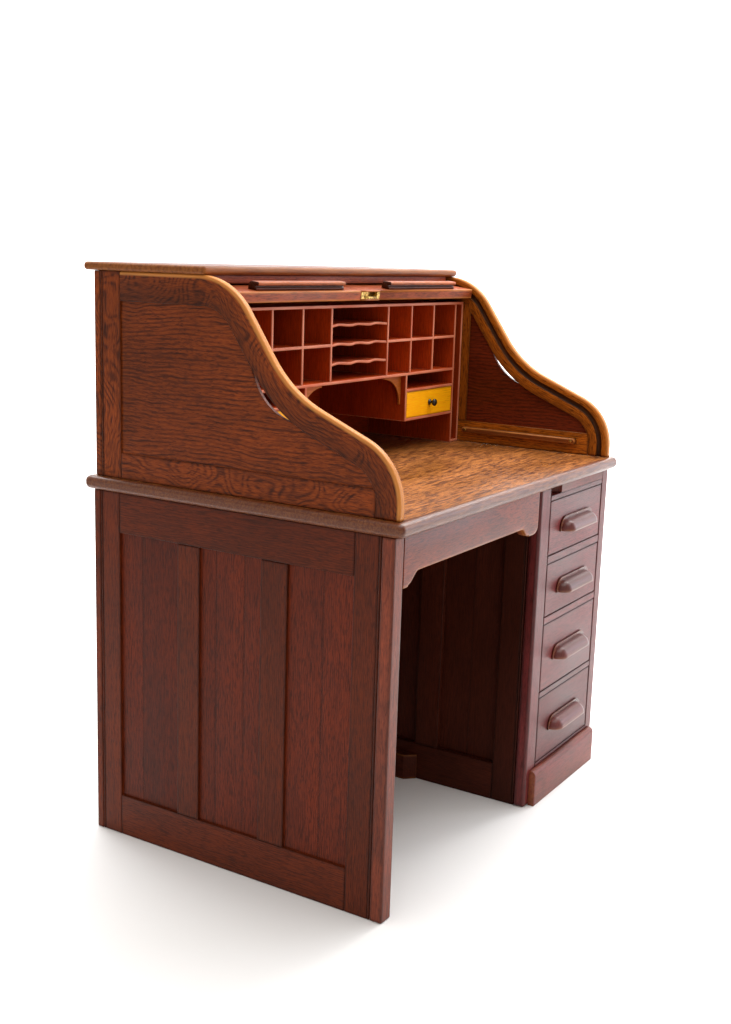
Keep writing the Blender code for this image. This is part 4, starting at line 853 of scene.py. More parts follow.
class DESK_OT_pedestal_front(DeskBuilder, bpy.types.Operator):
    """Face frame round the drawers, and the plinth board"""

    bl_idname = "desk.pedestal_front"
    bl_label = "Pedestal front"

    def execute(self, context):
        sizes = context.scene.desk_sizes
        low, high = corners("pedestal_face_frame")
        front_low, front_high = corners("drawer_1_front")
        left_inner = front_low[0] - DRAWER_GAP
        right_inner = front_high[0] + DRAWER_GAP
        slide_low, _ = corners("writing_slide")
        openings = drawer_openings()
        joint = 0.0003
        levels = [low[2], *[z for opening in reversed(openings) for z in opening], slide_low[2] - joint]
        rounding = sizes.edge_rounding
        parts = [
            board((low[0], low[1], low[2]), (left_inner, high[1], high[2]), 2, 0.0065, 5, 0.003),
            board((right_inner, low[1], low[2]), (high[0], high[1], high[2]), 2, 0.0022, 3),
        ]
        set_back = low[1] + 0.0006
        for z0, z1 in zip(levels[::2], levels[1::2]):
            rail_high = (right_inner - joint, high[1], z1)
            parts.append(board((left_inner + joint, set_back, z0), rail_high, 0, rounding))
        oak = finish("front_oak")
        assemble("pedestal_face_joinery", parts, "desk", oak, ["pedestal_face_frame"])

        self.plinth(oak)
        return {"FINISHED"}

    def plinth(self, oak):
        """Board on the floor, its section a rectangle with a quarter circle along the upper front edge."""
        low, high = corners("pedestal_plinth")
        arc = np.radians(np.linspace(0, 90, 9))
        radius = 0.0125
        ease = 0.0006
        end_ease = 0.0015
        margin = 0.006
        y = np.concatenate([[high[1], low[1] + ease, low[1]], low[1] + radius * (1 - np.cos(arc)), [high[1]]])
        z = np.concatenate([[0.0, 0.0, ease], high[2] - radius * (1 - np.sin(arc)), [high[2]]])
        flags = 0.25 * np.concatenate([[0.0, 1.0, 1.0], np.linspace(0.2, 1.0, 9), [0.4]])
        from_end = np.array([0.0, end_ease, margin])
        x = np.concatenate([low[0] + from_end, high[0] - from_end[::-1]])
        shrink = np.array([0.0013, 0.0, 0.0, 0.0, 0.0, 0.0013])
        rings = np.empty((len(x), len(y), 3))
        rings[..., 0] = x[:, None]
        rings[..., 1] = np.maximum(y[None], low[1] + shrink[:, None])
        rings[..., 2] = np.minimum(z[None], high[2] - shrink[:, None])
        end_flags = (shrink > 0)[:, None] * 0.5
        part = skin(rings, rings, np.maximum(flags[None], end_flags))
        assemble("pedestal_plinth_board", [part], "desk", oak, ["pedestal_plinth"])


def cup_pull(centre, half_length, radius, wall):
    """Hooded pull: a quarter of a round-ended bar, hollow behind.

    Points lie at (half length + r cos lift cos a, -r cos lift sin a, r sin lift) to the right and mirrored
    to the left, for the outer radius and, reversed, for the inner one. Lift goes from the lower rim up to the
    crown, and a swell of a twentieth, as sin 2 lift, fills the hood out.
    """
    lift = np.radians(np.linspace(0, 88, 15))
    bend = np.radians(np.linspace(0, 90, 13))
    rings = []
    swell = 1.0 + 0.05 * np.sin(2 * lift)
    for r, order in ((radius, 1), (radius - wall, -1)):
        flat = (r * np.cos(lift) * swell)[:, None]
        x_left = -half_length - flat * np.cos(bend)[None]
        x_right = half_length + flat * np.cos(bend[::-1])[None]
        x = np.hstack([x_left, x_right])
        y = np.hstack([-flat * np.sin(bend)[None], -flat * np.sin(bend[::-1])[None]])
        z = np.repeat((r * np.sin(lift))[:, None], x.shape[1], 1)
        rings.append(np.stack([x, y, z], -1)[::order])
    sheet = np.concatenate(rings, 0)
    loops = np.swapaxes(sheet, 0, 1) + np.array(centre)
    flags = np.concatenate([np.interp(lift, (0, 0.25), (1.0, 0.15)), np.zeros(len(lift))])
    return skin(loops, loops, flags[None])


def cup_plate(centre, half_length, rise, thickness):
    """Backplate of a pull: a rounded outline carried from the drawer's face to its own eased front."""
    corner = rise * 0.8
    arc = np.radians(np.linspace(0, 90, 9))
    across = half_length - corner + corner * np.cos(arc)
    up = rise - corner + corner * np.sin(arc)
    x = np.concatenate([[half_length], across, -across[::-1], [-half_length]])
    z = np.concatenate([[0.0], up, up[::-1], [0.0]])
    middle = np.array((0.0, rise / 2))
    depth = np.array([0.0, -thickness + 0.0012, -thickness + 0.0003, -thickness])
    inset = np.array([0.0, 0.0, 0.0006, 0.0016])
    shape = np.column_stack([x, z])
    away = shape - middle
    away /= np.linalg.norm(away, axis=1)[:, None]
    rings = np.empty((4, len(x), 3))
    rings[..., 0] = centre[0] + shape[None, :, 0] - inset[:, None] * away[None, :, 0]
    rings[..., 1] = centre[1] + depth[:, None]
    rings[..., 2] = centre[2] + shape[None, :, 1] - inset[:, None] * away[None, :, 1]
    return skin(rings, rings, np.array([0.0, 0.6, 1.0, 0.4])[:, None])


class DESK_OT_drawers(DeskBuilder, bpy.types.Operator):
    """Four pedestal drawers with hooded wooden pulls, and the writing slide over them"""

    bl_idname = "desk.drawers"
    bl_label = "Drawers and slide"

    def execute(self, context):
        for number in range(1, 5):
            body = f"drawer_{number}"
            low, high = corners(f"{body}_front")
            front = board(low, high, 0, 0.0026, 3)
            assemble(f"{body}_face", [front], body, finish("front_oak"), [f"{body}_front"])
            low, high = corners(f"{body}_pull")
            centre_x = (low[0] + high[0]) / 2
            rise = high[2] - low[2]
            half = (high[0] - low[0]) / 2
            radius = high[1] - low[1] - 0.0025
            ear = 0.0065
            hood_wall = 0.0045
            plate_thickness = 0.0040
            hood_at = (centre_x, high[1] - plate_thickness / 2, low[2])
            hood = cup_pull(hood_at, half - radius - ear, radius, hood_wall)
            plate = cup_plate((centre_x, high[1], low[2]), half, rise, plate_thickness)
            oak = finish("pull_oak")
            assemble(f"{body}_cup_pull", [plate, hood], body, oak, [f"{body}_pull"])
        self.slide()
        return {"FINISHED"}

    def slide(self):
        """The slide's front line is a depth for each X: the notch's depth, a quarter circle, then flush."""
        low, high = corners("writing_slide")
        scoop = 0.022
        scoop_start = low[0] + 0.0315
        notch_end = scoop_start + scoop
        ease = 0.0009
        x = np.concatenate(
            [
                [low[0], low[0] + 0.001, scoop_start],
                scoop_start + scoop * np.sin(np.radians(np.linspace(6, 89.5, 14))),
                [notch_end + 0.0006, notch_end + 0.003, high[0] - 0.001, high[0]],
            ]
        )
        into = np.clip((x - scoop_start) / scoop, 0.0, 1.0)
        front = low[1] + scoop * np.sqrt(1 - into**2)
        back = np.full_like(x, high[1])
        y = np.stack([front, front + ease, back, back, front + ease, front], 1)
        z = np.array([high[2] - ease, high[2], high[2], low[2], low[2], low[2] + ease])
        rings = np.empty((len(x), 6, 3))
        rings[..., 0] = x[:, None]
        rings[..., 1] = y
        rings[..., 2] = z[None]
        part = skin(rings, rings, np.array([0.15, 0.6, 0.0, 0.0, 0.6, 0.15])[None])
        oak = finish("front_oak")
        assemble("writing_slide_board", [part], "writing_slide", oak, ["writing_slide"])


# ---------------------------------------------------------------- writing top
class DESK_OT_writing_top(DeskBuilder, bpy.types.Operator):
    """Writing top with a bullnose all round"""

    bl_idname = "desk.writing_top"
    bl_label = "Writing top"

    def execute(self, context):
        sizes = context.scene.desk_sizes
        low, high = corners("writing_top")
        part = board(low, high, 0, sizes.top_rounding, 8, 0.003, 1.0)
        assemble("writing_top_boards", [part], "desk", finish("golden_oak"), ["writing_top"])
        return {"FINISHED"}


# ---------------------------------------------------------------- S-shaped sides
STILE_FRONT = 0.2875
BOTTOM_RAIL_TOP = 0.8145
TOP_RAIL_FOOT = 1.1135
PANEL_TUCK = 0.005


class DESK_OT_upper_sides(DeskBuilder, bpy.types.Operator):
    """The two S-shaped sides: curved rail with its groove, stile, bottom rail, panel, strip and batten"""

    bl_idname = "desk.upper_sides"
    bl_label = "Upper sides"

    def execute(self, context):
        for side, name in ((-1, "left"), (1, "right")):
            self.side(side, name)
        return {"FINISHED"}

    def side(self, side, name):
        """One side: side is -1 for the left and 1 for the right."""
        sizes = bpy.context.scene.desk_sizes
        low, high = corners(f"{name}_side_frame")
        outer = side * max(abs(low[0]), abs(high[0]))
        inner = side * min(abs(low[0]), abs(high[0]))
        thick = abs(outer - inner)
        middle = (outer + inner) / 2
        post_y = high[1] - REAR_POST
        bead_y = post_y - 0.005
        joint = 0.0003
        foot = low[2]
        rounding = sizes.edge_rounding
        rail_end_high = (inner, STILE_FRONT - joint, BOTTOM_RAIL_TOP - joint)
        parts = [
            self.curved_rail(side, middle, thick),
            board((outer, S_FRONT + sizes.rail_width + joint, foot), rail_end_high, 1, rounding),
            board((outer, STILE_FRONT + 0.0002, foot), (inner, bead_y - CRACK, high[2]), 2, rounding),
            bead_strip((outer + side * joint, bead_y, foot), (inner, post_y - joint, high[2])),
            board((outer, post_y, foot), (inner, high[1], high[2]), 2, REAR_POST_EDGE, 3),
        ]
        assemble(
            f"{name}_side_joinery",
            parts,
            "desk",
            finish("figured_oak"),
            [f"{name}_side_frame"],
            True,
            finish("warm_oak"),
            abs(inner) + 0.45 * thick,
        )
        self.panel(side, name, outer)
        self.inside(side, name, inner)

    def curved_rail(self, side, middle, thick):
        """The rail's section is a rectangle with rounded outer corners and a groove in its inner face."""
        sizes = bpy.context.scene.desk_sizes
        r = sizes.rail_rounding
        arc = np.radians(np.linspace(0, 90, 6))
        half = thick / 2
        groove = sizes.track_offset
        g = sizes.track_width / 2
        width = sizes.rail_width
        # first number: towards the outer face positive; second: depth in from the S edge
        outer_corner = np.column_stack([half - r + r * np.sin(arc), r - r * np.cos(arc)])
        inner_corner = np.column_stack([-half + r - r * np.cos(arc), r - r * np.sin(arc)])
        shape = np.vstack(
            [
                inner_corner,
                outer_corner,
                [
                    (half, r + 0.004),
                    (half, width - 0.001),
                    (half - 0.001, width),
                    (-half + 0.001, width),
                    (-half, width - 0.001),
                    (-half, groove + g + 0.003),
                    (-half, groove + g + 0.0006),
                    (-half + 0.0006, groove + g),
                    (-half + sizes.track_depth, groove + g),
                    (-half + sizes.track_depth, groove - g),
                    (-half + 0.0006, groove - g),
                    (-half, groove - g - 0.0006),
                    (-half, r + 0.003),
                ],
            ]
        )
        # the groove and the rail's inner edge by the panel are darkened: dirt in the joint and painted shade
        # in the groove
        rail_dirt_and_groove_shade = [0, -0.6, -1, -1, -0.6, 0, -0.2, -0.8, -1, -1, -0.8, -0.2, 0]
        flags = np.concatenate([np.ones(len(inner_corner) + len(outer_corner)), rail_dirt_and_groove_shade])
        _, _, ends = s_line(0.0, [0.0])
        level_y = s_line(0.0, [ends[-1] - 1e-6])[0][0, 0]
        run = STILE_FRONT - level_y
        _, _, ends = s_line(0.0, [0.0], run)
        distances = np.concatenate([np.linspace(0.0003, ends[-2], 150), [ends[-1] - 0.0003]])
        points, headings, _ = s_line(0.0, distances, run)
        extra = np.interp(distances, (ends[-3], ends[-2]), (0.0, 0.0057))
        return carry(shape, flags, points, headings, side, extra, middle)

    def panel(self, side, name, outer):
        """Panel under the curved rail: its top follows the rail's inner line for each Y.

        The top line is lowered by a sine-squared bump along the hollow, where the panel has shrunk from its
        groove.
        """
        sizes = bpy.context.scene.desk_sizes
        distances = np.linspace(0.0, 0.9, 1800)
        points, headings, ends = s_line(sizes.rail_width - PANEL_TUCK, distances, 0.3)
        along = np.clip((distances / ends[-2] - SHRINK_SPAN[0]) / (SHRINK_SPAN[1] - SHRINK_SPAN[0]), 0.0, 1.0)
        bump = SHRINK_DEPTHS[name] * np.sin(math.pi * along) ** 2
        points = points + bump[:, None] * np.column_stack([np.sin(headings), -np.cos(headings)])
        bottom = BOTTOM_RAIL_TOP - PANEL_TUCK
        y_start = float(np.interp(bottom + 0.004, points[:, 1], points[:, 0]))
        y = np.concatenate([np.linspace(y_start, 0.06, 140), np.linspace(0.07, STILE_FRONT + PANEL_TUCK, 20)])
        order = np.argsort(points[:, 0])
        top = np.minimum(np.interp(y, points[order, 0], points[order, 1]), TOP_RAIL_FOOT + PANEL_TUCK)
        face = outer - side * sizes.side_recess
        back = face - side * PANEL_THICKNESS
        bases, directions, _, radius = rounded_outline(1.0, 1.0, 0.02, 1, 0.05)
        outline = bases + radius * directions + 0.5
        rings = np.empty((len(y), len(outline), 3))
        rings[..., 0] = face + (back - face) * outline[None, :, 0]
        rings[..., 1] = y[:, None]
        rings[..., 2] = bottom + outline[None, :, 1] * (top - bottom)[:, None]
        part = skin(rings, rings[..., [1, 2, 0]], np.zeros((1, len(outline))))
        assemble(
            f"{name}_side_figured_panel",
            [part],
            "desk",
            finish("figured_oak"),
            [f"{name}_side_panel"],
            True,
            finish("inner_panel"),
            abs(face) - 0.004,
        )

    def inside(self, side, name, inner):
        """Round-ended batten with a screw at each end, and the upright strip beside the case."""
        low, high = corners(f"{name}_batten")
        half = (high[2] - low[2]) / 2
        centre_z = (high[2] + low[2]) / 2
        face = side * min(abs(low[0]), abs(high[0]))
        wall = side * max(abs(low[0]), abs(high[0]))
        arc = np.radians(np.linspace(-90, 90, 11))
        y = np.concatenate([high[1] - half + half * np.cos(arc), low[1] + half - half * np.cos(arc)])
        z = np.concatenate([centre_z + half * np.sin(arc), centre_z - half * np.sin(arc)])
        shape = np.column_stack([y, z])
        spine = np.clip(shape, (low[1] + half, centre_z), (high[1] - half, centre_z))
        away = shape - spine
        depth = np.array([0.0, 0.5, 0.72, 0.88, 0.97, 1.0])
        shrink = np.array([0.0, 0.0, 0.06, 0.2, 0.42, 0.62])
        rings = np.empty((6, len(shape), 3))
        rings[..., 0] = wall + (face - wall) * depth[:, None]
        rings[..., 1:] = shape[None] - shrink[:, None, None] * away[None]
        batten = skin(rings, rings[..., [1, 2, 0]], np.array([0.0, 0.2, 0.6, 1.0, 0.8, 0.2])[:, None])
        assemble(f"{name}_batten_strip", [batten], "desk", finish("dark_oak"), [f"{name}_batten"])
        # a screw's head is a low dome of rings, each with a radius and a projection
        screws = []
        screw_inset = 0.012
        angle = np.linspace(0, 2 * math.pi, 20, endpoint=False)
        radii = np.array([0.0036, 0.0036, 0.0030, 0.0012])
        out = np.array([-0.002, 0.0004, 0.0009, 0.0011])
        for y_screw in (low[1] + screw_inset, high[1] - screw_inset):
            rings = np.empty((4, 20, 3))
            rings[..., 0] = face - side * out[:, None]
            rings[..., 1] = y_screw + radii[:, None] * np.cos(angle)[None]
            rings[..., 2] = centre_z + radii[:, None] * np.sin(angle)[None]
            screws.append(skin(rings, rings, np.zeros((1, 20))))
        assemble(f"{name}_batten_screws", screws, "desk", finish("worn_brass"), ())
        strip_low = (inner - side * 0.0002, 0.0227, 0.8150)
        strip_high = (inner + side * 0.003, 0.0627, 1.108)
        strip = board(strip_low, strip_high, 2, 0.0006)
        assemble(f"{name}_inside_strip", [strip], "desk", finish("warm_oak"), ())


# ---------------------------------------------------------------- top and backs
class DESK_OT_top_and_back(DeskBuilder, bpy.types.Operator):
    """Top board with a rounded nose, the fascia under it and the boarded backs, tongued and grooved"""

    bl_idname = "desk.top_and_back"
    bl_label = "Top and back"

    def execute(self, context):
        sizes = context.scene.desk_sizes
        low, high = corners("top_board")
        part = board(low, high, 0, sizes.top_board_rounding, 6, 0.003, 0.45)
        assemble("top_board_plank", [part], "desk", finish("dark_oak"), ["top_board"])
        low, high = corners("top_fascia")
        part = board(low, high, 0, 0.0012)
        assemble("top_fascia_strip", [part], "desk", finish("lead_oak"), ["top_fascia"])
        for place in ("upper", "lower"):
            node = f"{place}_back_panel"
            low, high = corners(node)
            cuts = np.linspace(low[0], high[0], 8)
            tongues = [0.004] * (len(cuts) - 2)
            parts = [
                self.tongued_board((x0, *low[1:]), (x1, *high[1:]), groove, tongue)
                for x0, x1, groove, tongue in zip(cuts, cuts[1:], [-0.0008, *tongues], [*tongues, -0.0010])
            ]
            assemble(f"{place}_back_boards", parts, "desk", finish("dark_oak_panel"), [node])
        return {"FINISHED"}

    def tongued_board(self, low, high, groove, tongue):
        """Upright board whose right edge has a tongue that fits the next board's groove.

        groove and tongue are their lengths. A small negative length leaves that edge nearly square.
        """
        gap = 0.0002
        ease = 0.0012
        left = low[0] + gap
        right = high[0] - gap
        front = low[1]
        back = high[1]
        middle = (front + back) / 2
        half = (back - front) / 6
        bottom = left + groove + gap if groove > 0 else left + 0.0004
        tip = high[0] + tongue
        section = np.array(
            [
                (left + ease, front),
                (right - ease, front),
                (right, front + ease),
                (right, middle - half),
                (tip, middle - half),
                (tip, middle + half),
                (right, middle + half),
                (right, back - ease),
                (right - ease, back),
                (left + ease, back),
                (left, back - ease),
                (left, middle + half + gap),
                (bottom, middle + half + gap),
                (bottom, middle - half - gap),
                (left, middle - half - gap),
                (left, front + ease),
            ]
        )
        z = np.array([low[2], low[2] + 0.001, high[2] - 0.001, high[2]])
        rings = np.empty((4, len(section), 3))
        rings[..., :2] = section[None]
        rings[..., 2] = z[:, None]
        grain = rings[..., [2, 0, 1]] - np.array((0.0, (left + right) / 2, middle))
        # the tongue, the groove and the edges where boards meet are darkened: dirt in the joints and painted
        # shade in the gaps
        flags = np.array([-0.3, -0.3, -1, -1, -1, -1, -1, -1, -0.3, -0.3, -1, -1, -1, -1, -1, -1])
        return skin(rings, grain, flags[None])


# ---------------------------------------------------------------- pigeonhole case
CASE_DIVIDERS = (0.1155, 0.2213, 0.3270)
CASE_SIDE = 0.4367
CASE_MIDDLE_SHELF = 1.0265
CASE_BOTTOM_SHELF = 0.9465
LETTER_SHELVES = (1.0675, 1.0265, 0.9855)
UNIT_WALL = 0.207
UNIT_BOTTOM = 0.8385
UNIT_SHELF = 0.9075


class DESK_OT_pigeonholes(DeskBuilder, bpy.types.Operator):
    """Pigeonhole case of thin boards with wavy letter shelves, its brackets and its back"""

    bl_idname = "desk.pigeonholes"
    bl_label = "Pigeonhole case"

    def execute(self, context):
        sizes = context.scene.desk_sizes
        low, high = corners("pigeonhole_case")
        wall = sizes.case_wall
        half = wall / 2
        front = low[1]
        top = high[2]

        def thin_board(board_low, board_high, grain_axis):
            """A board with small rounded edges that have lost their stain."""
            return board(board_low, board_high, grain_axis, 0.0006, 1, 0.002, 1.0)

        def upright(x, z0, z1, set_back=0.0):
            """A divider centred on x."""
            return thin_board((x - half, front + set_back, z0), (x + half, high[1], z1), 2)

        def shelf(x0, x1, z):
            """A shelf centred on z, a little behind the uprights' front edges."""
            return thin_board((x0, front + 0.0003, z - half), (x1, high[1], z + half), 0)

        parts = [thin_board((low[0], front, top - wall), high, 0)]
        for side in (-1, 1):
            parts.append(upright(side * (high[0] - half), low[2], top - wall))
            parts.append(upright(side * CASE_SIDE, low[2], top - wall))
            for x in CASE_DIVIDERS:
                parts.append(upright(side * x, CASE_BOTTOM_SHELF + half, top - wall, 0.0002))
            parts.append(upright(side * UNIT_WALL, UNIT_BOTTOM - half, CASE_BOTTOM_SHELF - half, 0.0002))
            near, far = sorted((side * (CASE_DIVIDERS[0] + half), side * (CASE_SIDE - half)))
            parts.append(shelf(near, far, CASE_MIDDLE_SHELF))
            near, far = sorted((side * (UNIT_WALL + half), side * (CASE_SIDE - half)))
            parts.append(shelf(near, far, UNIT_SHELF))
            parts.append(shelf(near, far, UNIT_BOTTOM))
            near, far = sorted((side * (CASE_SIDE + half), side * (high[0] - wall)))
            parts.append(shelf(near, far, low[2] + half))
        parts.append(shelf(-CASE_SIDE + half, CASE_SIDE - half, CASE_BOTTOM_SHELF))
        for z in LETTER_SHELVES:
            parts.append(self.wavy_shelf(CASE_DIVIDERS[0] - half, front, high[1], z))
        wood = finish("case_wood")
        assemble("pigeonhole_boards", parts, "desk", wood, ["pigeonhole_case"])
        self.brackets()
        back_low, back_high = corners("pigeonhole_back")
        part = board(back_low, back_high, 0, 0.0005, 1)
        assemble("pigeonhole_back_board", [part], "desk", wood, ["pigeonhole_back"])
        return {"FINISHED"}

    def wavy_shelf(self, bay, front, back, z):
        """Letter shelf whose front edge swings in and out three times.

        Its depth behind the case's front is 2 mm plus 5.5 mm of a raised cosine.
        """
        half = 0.0028
        ease = 0.0011
        lip = 0.004
        x = np.linspace(-bay, bay, 97)
        swing = 0.5 - 0.5 * np.cos(3 * math.pi * (x / bay + 1))
        edge = front + 0.002 + 0.0055 * swing
        section_y = np.array([lip, ease, 0.0, 0.0, ease, lip])
        section_z = np.array([half, half, half / 2, -half / 2, -half, -half])
        rings = np.empty((len(x), 8, 3))
        rings[..., 0] = x[:, None]
        rings[:, :6, 1] = edge[:, None] + section_y[None]
        rings[:, 6:, 1] = back
        rings[:, :6, 2] = z + section_z[None] + 0.35 * (edge - edge.mean())[:, None]
        rings[:, 6, 2] = z - half
        rings[:, 7, 2] = z + half
        return skin(rings, rings, np.array([0.2, 1.0, 1.0, 1.0, 1.0, 0.2, 0, 0])[None])

    def brackets(self):
        """Quarter-arch brackets: the space between a quarter ellipse and the square corner that it fills."""
        steps = 25
        ease = 0.0008
        share = np.linspace(0, 1, steps)
        angle = np.radians(90 * (1 - share))
        for side, name in ((-1, "left"), (1, "right")):
            low, high = corners(f"{name}_bracket")
            wall = side * max(abs(low[0]), abs(high[0]))
            tip = side * min(abs(low[0]), abs(high[0]))
            across = (abs(wall - tip) - 0.003) * np.cos(angle)
            up = (high[2] - low[2] - 0.006) * np.sin(angle)
            curve = np.column_stack([tip + side * across, low[2] + up])
            corner_x = np.interp(share, (0, 0.5, 1), (tip, wall, wall))
            corner_z = np.interp(share, (0, 0.5, 1), (high[2], high[2], low[2]))
            corner = np.column_stack([corner_x, corner_z])
            inward = corner - curve
            inward /= np.maximum(np.linalg.norm(inward, axis=1), 1e-6)[:, None]
            lines = [curve + ease * inward, curve, curve, corner, corner, corner]
            depths = [low[1], low[1] + ease, high[1], high[1], low[1] + ease, low[1]]
            rings = np.empty((steps, len(lines), 3))
            rings[..., [0, 2]] = np.stack(lines, 1)
            rings[..., 1] = np.array(depths)
            part = skin(rings, rings, np.array([1.0, 0.8, 0, 0, 0, 0.2])[None])
            replaced = [f"{name}_bracket"]
            assemble(f"{name}_arch_bracket", [part], "desk", finish("bracket_ash"), replaced)


# a knob's radius and projection, from its foot over the neck to the crown
KNOB_PROFILE = (
    (0.0020, 0.0),
    (0.0075, 0.0),
    (0.0074, 0.0012),
    (0.0046, 0.0026),
    (0.0035, 0.0045),
    (0.0036, 0.0065),
    (0.0046, 0.0082),
    (0.0066, 0.0100),
    (0.0083, 0.0118),
    (0.0088, 0.0135),
    (0.0086, 0.0152),
    (0.0076, 0.0167),
    (0.0058, 0.0179),
    (0.0030, 0.0187),
    (0.0004, 0.0190),
)


class DESK_OT_small_drawers(DeskBuilder, bpy.types.Operator):
    """The two small drawers under the pigeonholes with turned black knobs"""

    bl_idname = "desk.small_drawers"
    bl_label = "Small drawers"

    def execute(self, context):
        for name in ("left", "right"):
            body = f"{name}_small_drawer"
            low, high = corners(body)
            wall = 0.007
            inside_y = low[1] + wall + 0.0002
            floor = low[2] + 0.005
            back_y = high[1] - 0.006
            side_top = high[2] - 0.002
            back_top = high[2] - 0.004
            parts = [
                board(low, (high[0], low[1] + wall, high[2]), 0, 0.0012, 2),
                board((low[0], inside_y, floor), (low[0] + wall, high[1], side_top), 1, 0.0006, 1),
                board((high[0] - wall, inside_y, floor), (high[0], high[1], side_top), 1, 0.0006, 1),
                board((low[0] + wall, back_y, floor), (high[0] - wall, high[1], back_top), 0, 0.0006, 1),
                board((low[0], inside_y, low[2]), (high[0], high[1], floor), 0, 0.0004, 1),
            ]
            assemble(f"{name}_small_drawer_box", parts, body, finish("yellow_ash"), [body])
            knob_low, knob_high = corners(f"{name}_small_knob")
            centre = ((knob_low[0] + knob_high[0]) / 2, knob_high[1], (knob_low[2] + knob_high[2]) / 2)
            knob = turned(KNOB_PROFILE, centre)
            black = finish("ebonised")
            assemble(f"{name}_turned_knob", [knob], body, black, [f"{name}_small_knob"], False)
        return {"FINISHED"}


# ---------------------------------------------------------------- curtain
LEAD_RAIL_END = 0.0742
SECTION_PITCH = 0.0690
SECTION_GAP = 0.0018
CLEAR_OF_RAIL = 0.0035
TRACK_END_RUN = 0.3


def turned_back(points, joint):
    """Points in the YZ plane turned from a joint's far limit back to rest, about the joint's own axis."""
    angle = -math.radians(joint["range_deg"][1])
    pole = np.array(joint["pos_m"][1:])
    turn = np.array([[math.cos(angle), -math.sin(angle)], [math.sin(angle), math.cos(angle)]])
    return (points - pole) @ turn.T + pole


class DESK_OT_curtain(DeskBuilder, bpy.types.Operator):
    """Slats and canvas of the curtain, laid on the S where it is closed and turned back with their joints"""

    bl_idname = "desk.curtain"
    bl_label = "Curtain slats"

    def execute(self, context):
        sizes = context.scene.desk_sizes
        joints = {joint["child"]: joint for joint in frame["joints"]}
        _, high = corners("curtain_section_1")
        half_width = high[0]
        count = sizes.slats_per_section
        for number in range(1, 9):
            body = f"curtain_section_{number}"
            start = LEAD_RAIL_END + SECTION_GAP + (number - 1) * SECTION_PITCH
            end = start + SECTION_PITCH - SECTION_GAP
            # the first section starts a little later, so that it clears the leading rail where it is closed
            if number == 1:
                start += CLEAR_OF_RAIL
            width = (end - start) / count
            slats = [self.slat(start + i * width, width, half_width, joints[body]) for i in range(count)]
            assemble(f"{body}_slats", slats, body, finish("dark_oak"), [body])
            canvas = self.canvas(start, end, half_width - 0.01, joints[body])
            assemble(f"{body}_canvas", [canvas], body, finish("canvas"), (), False)
        return {"FINISHED"}

    def slat(self, start, width, half_width, joint):
        """A slat square to the track at its middle: flat inside, with rounded shoulders and a low crown."""
        sizes = bpy.context.scene.desk_sizes
        centre, heading, _ = s_line(sizes.track_offset, [start + width / 2], TRACK_END_RUN)
        thick = sizes.slat_thickness
        half = width / 2 - 0.0003
        shoulder = np.array([(1.0, 0.1), (0.97, 0.24), (0.88, 0.36), (0.7, 0.43), (0.4, 0.465)])
        crown = np.vstack([shoulder * (-1, 1), (0.0, 0.48), shoulder[::-1]])
        along, out = np.vstack([crown, (1.0, -0.42), (-1.0, -0.42)]).T * np.array([[half], [thick]])
        direction = np.array((math.cos(heading[0]), math.sin(heading[0])))
        normal = np.array((-direction[1], direction[0]))
        shape = centre[0] + along[:, None] * direction + out[:, None] * normal
        shape = turned_back(shape, joint)
        x = np.array([-half_width, -half_width + 0.004, half_width - 0.004, half_width])
        rings = np.empty((4, len(shape), 3))
        rings[..., 0] = x[:, None]
        rings[..., 1:] = shape[None]
        flags = np.array([0.5, 0.7, 0.6, 0.2, 0, 0, 0, 0.2, 0.6, 0.7, 0.5, 0, 0])
        along, out = np.broadcast_to([along, out], (4, 2, len(shape))).swapaxes(0, 1)
        grain = np.stack([rings[..., 0], along, out], -1)
        return skin(rings, grain, flags[None])

    def canvas(self, start, end, half_width, joint):
        """Canvas backing: a thin ribbon under the slats along the track."""
        sizes = bpy.context.scene.desk_sizes
        distances = np.linspace(start, end, 13)
        points, headings, _ = s_line(sizes.track_offset, distances, TRACK_END_RUN)
        inward = np.column_stack([np.sin(headings), -np.cos(headings)])
        base = sizes.slat_thickness * 0.42
        upper = points + inward * (base + 0.0001)
        lower = points + inward * (base + 0.0008)
        shape = turned_back(np.vstack([upper, lower[::-1]]), joint)
        x = np.linspace(-half_width, half_width, 5)
        rings = np.empty((5, len(shape), 3))
        rings[..., 0] = x[:, None]
        rings[..., 1:] = shape[None]
        return skin(rings, rings, np.zeros((1, len(shape))))


RAIL_DEPTH = 0.070
RAIL_THICKNESS = 0.022


def moved_outline(width, height, radius, steps, margin, middle):
    """Points and edge values of a rounded rectangle about a middle point."""
    bases, directions, flags, radius = rounded_outline(width, height, radius, steps, margin)
    return bases + radius * directions + np.array(middle), flags


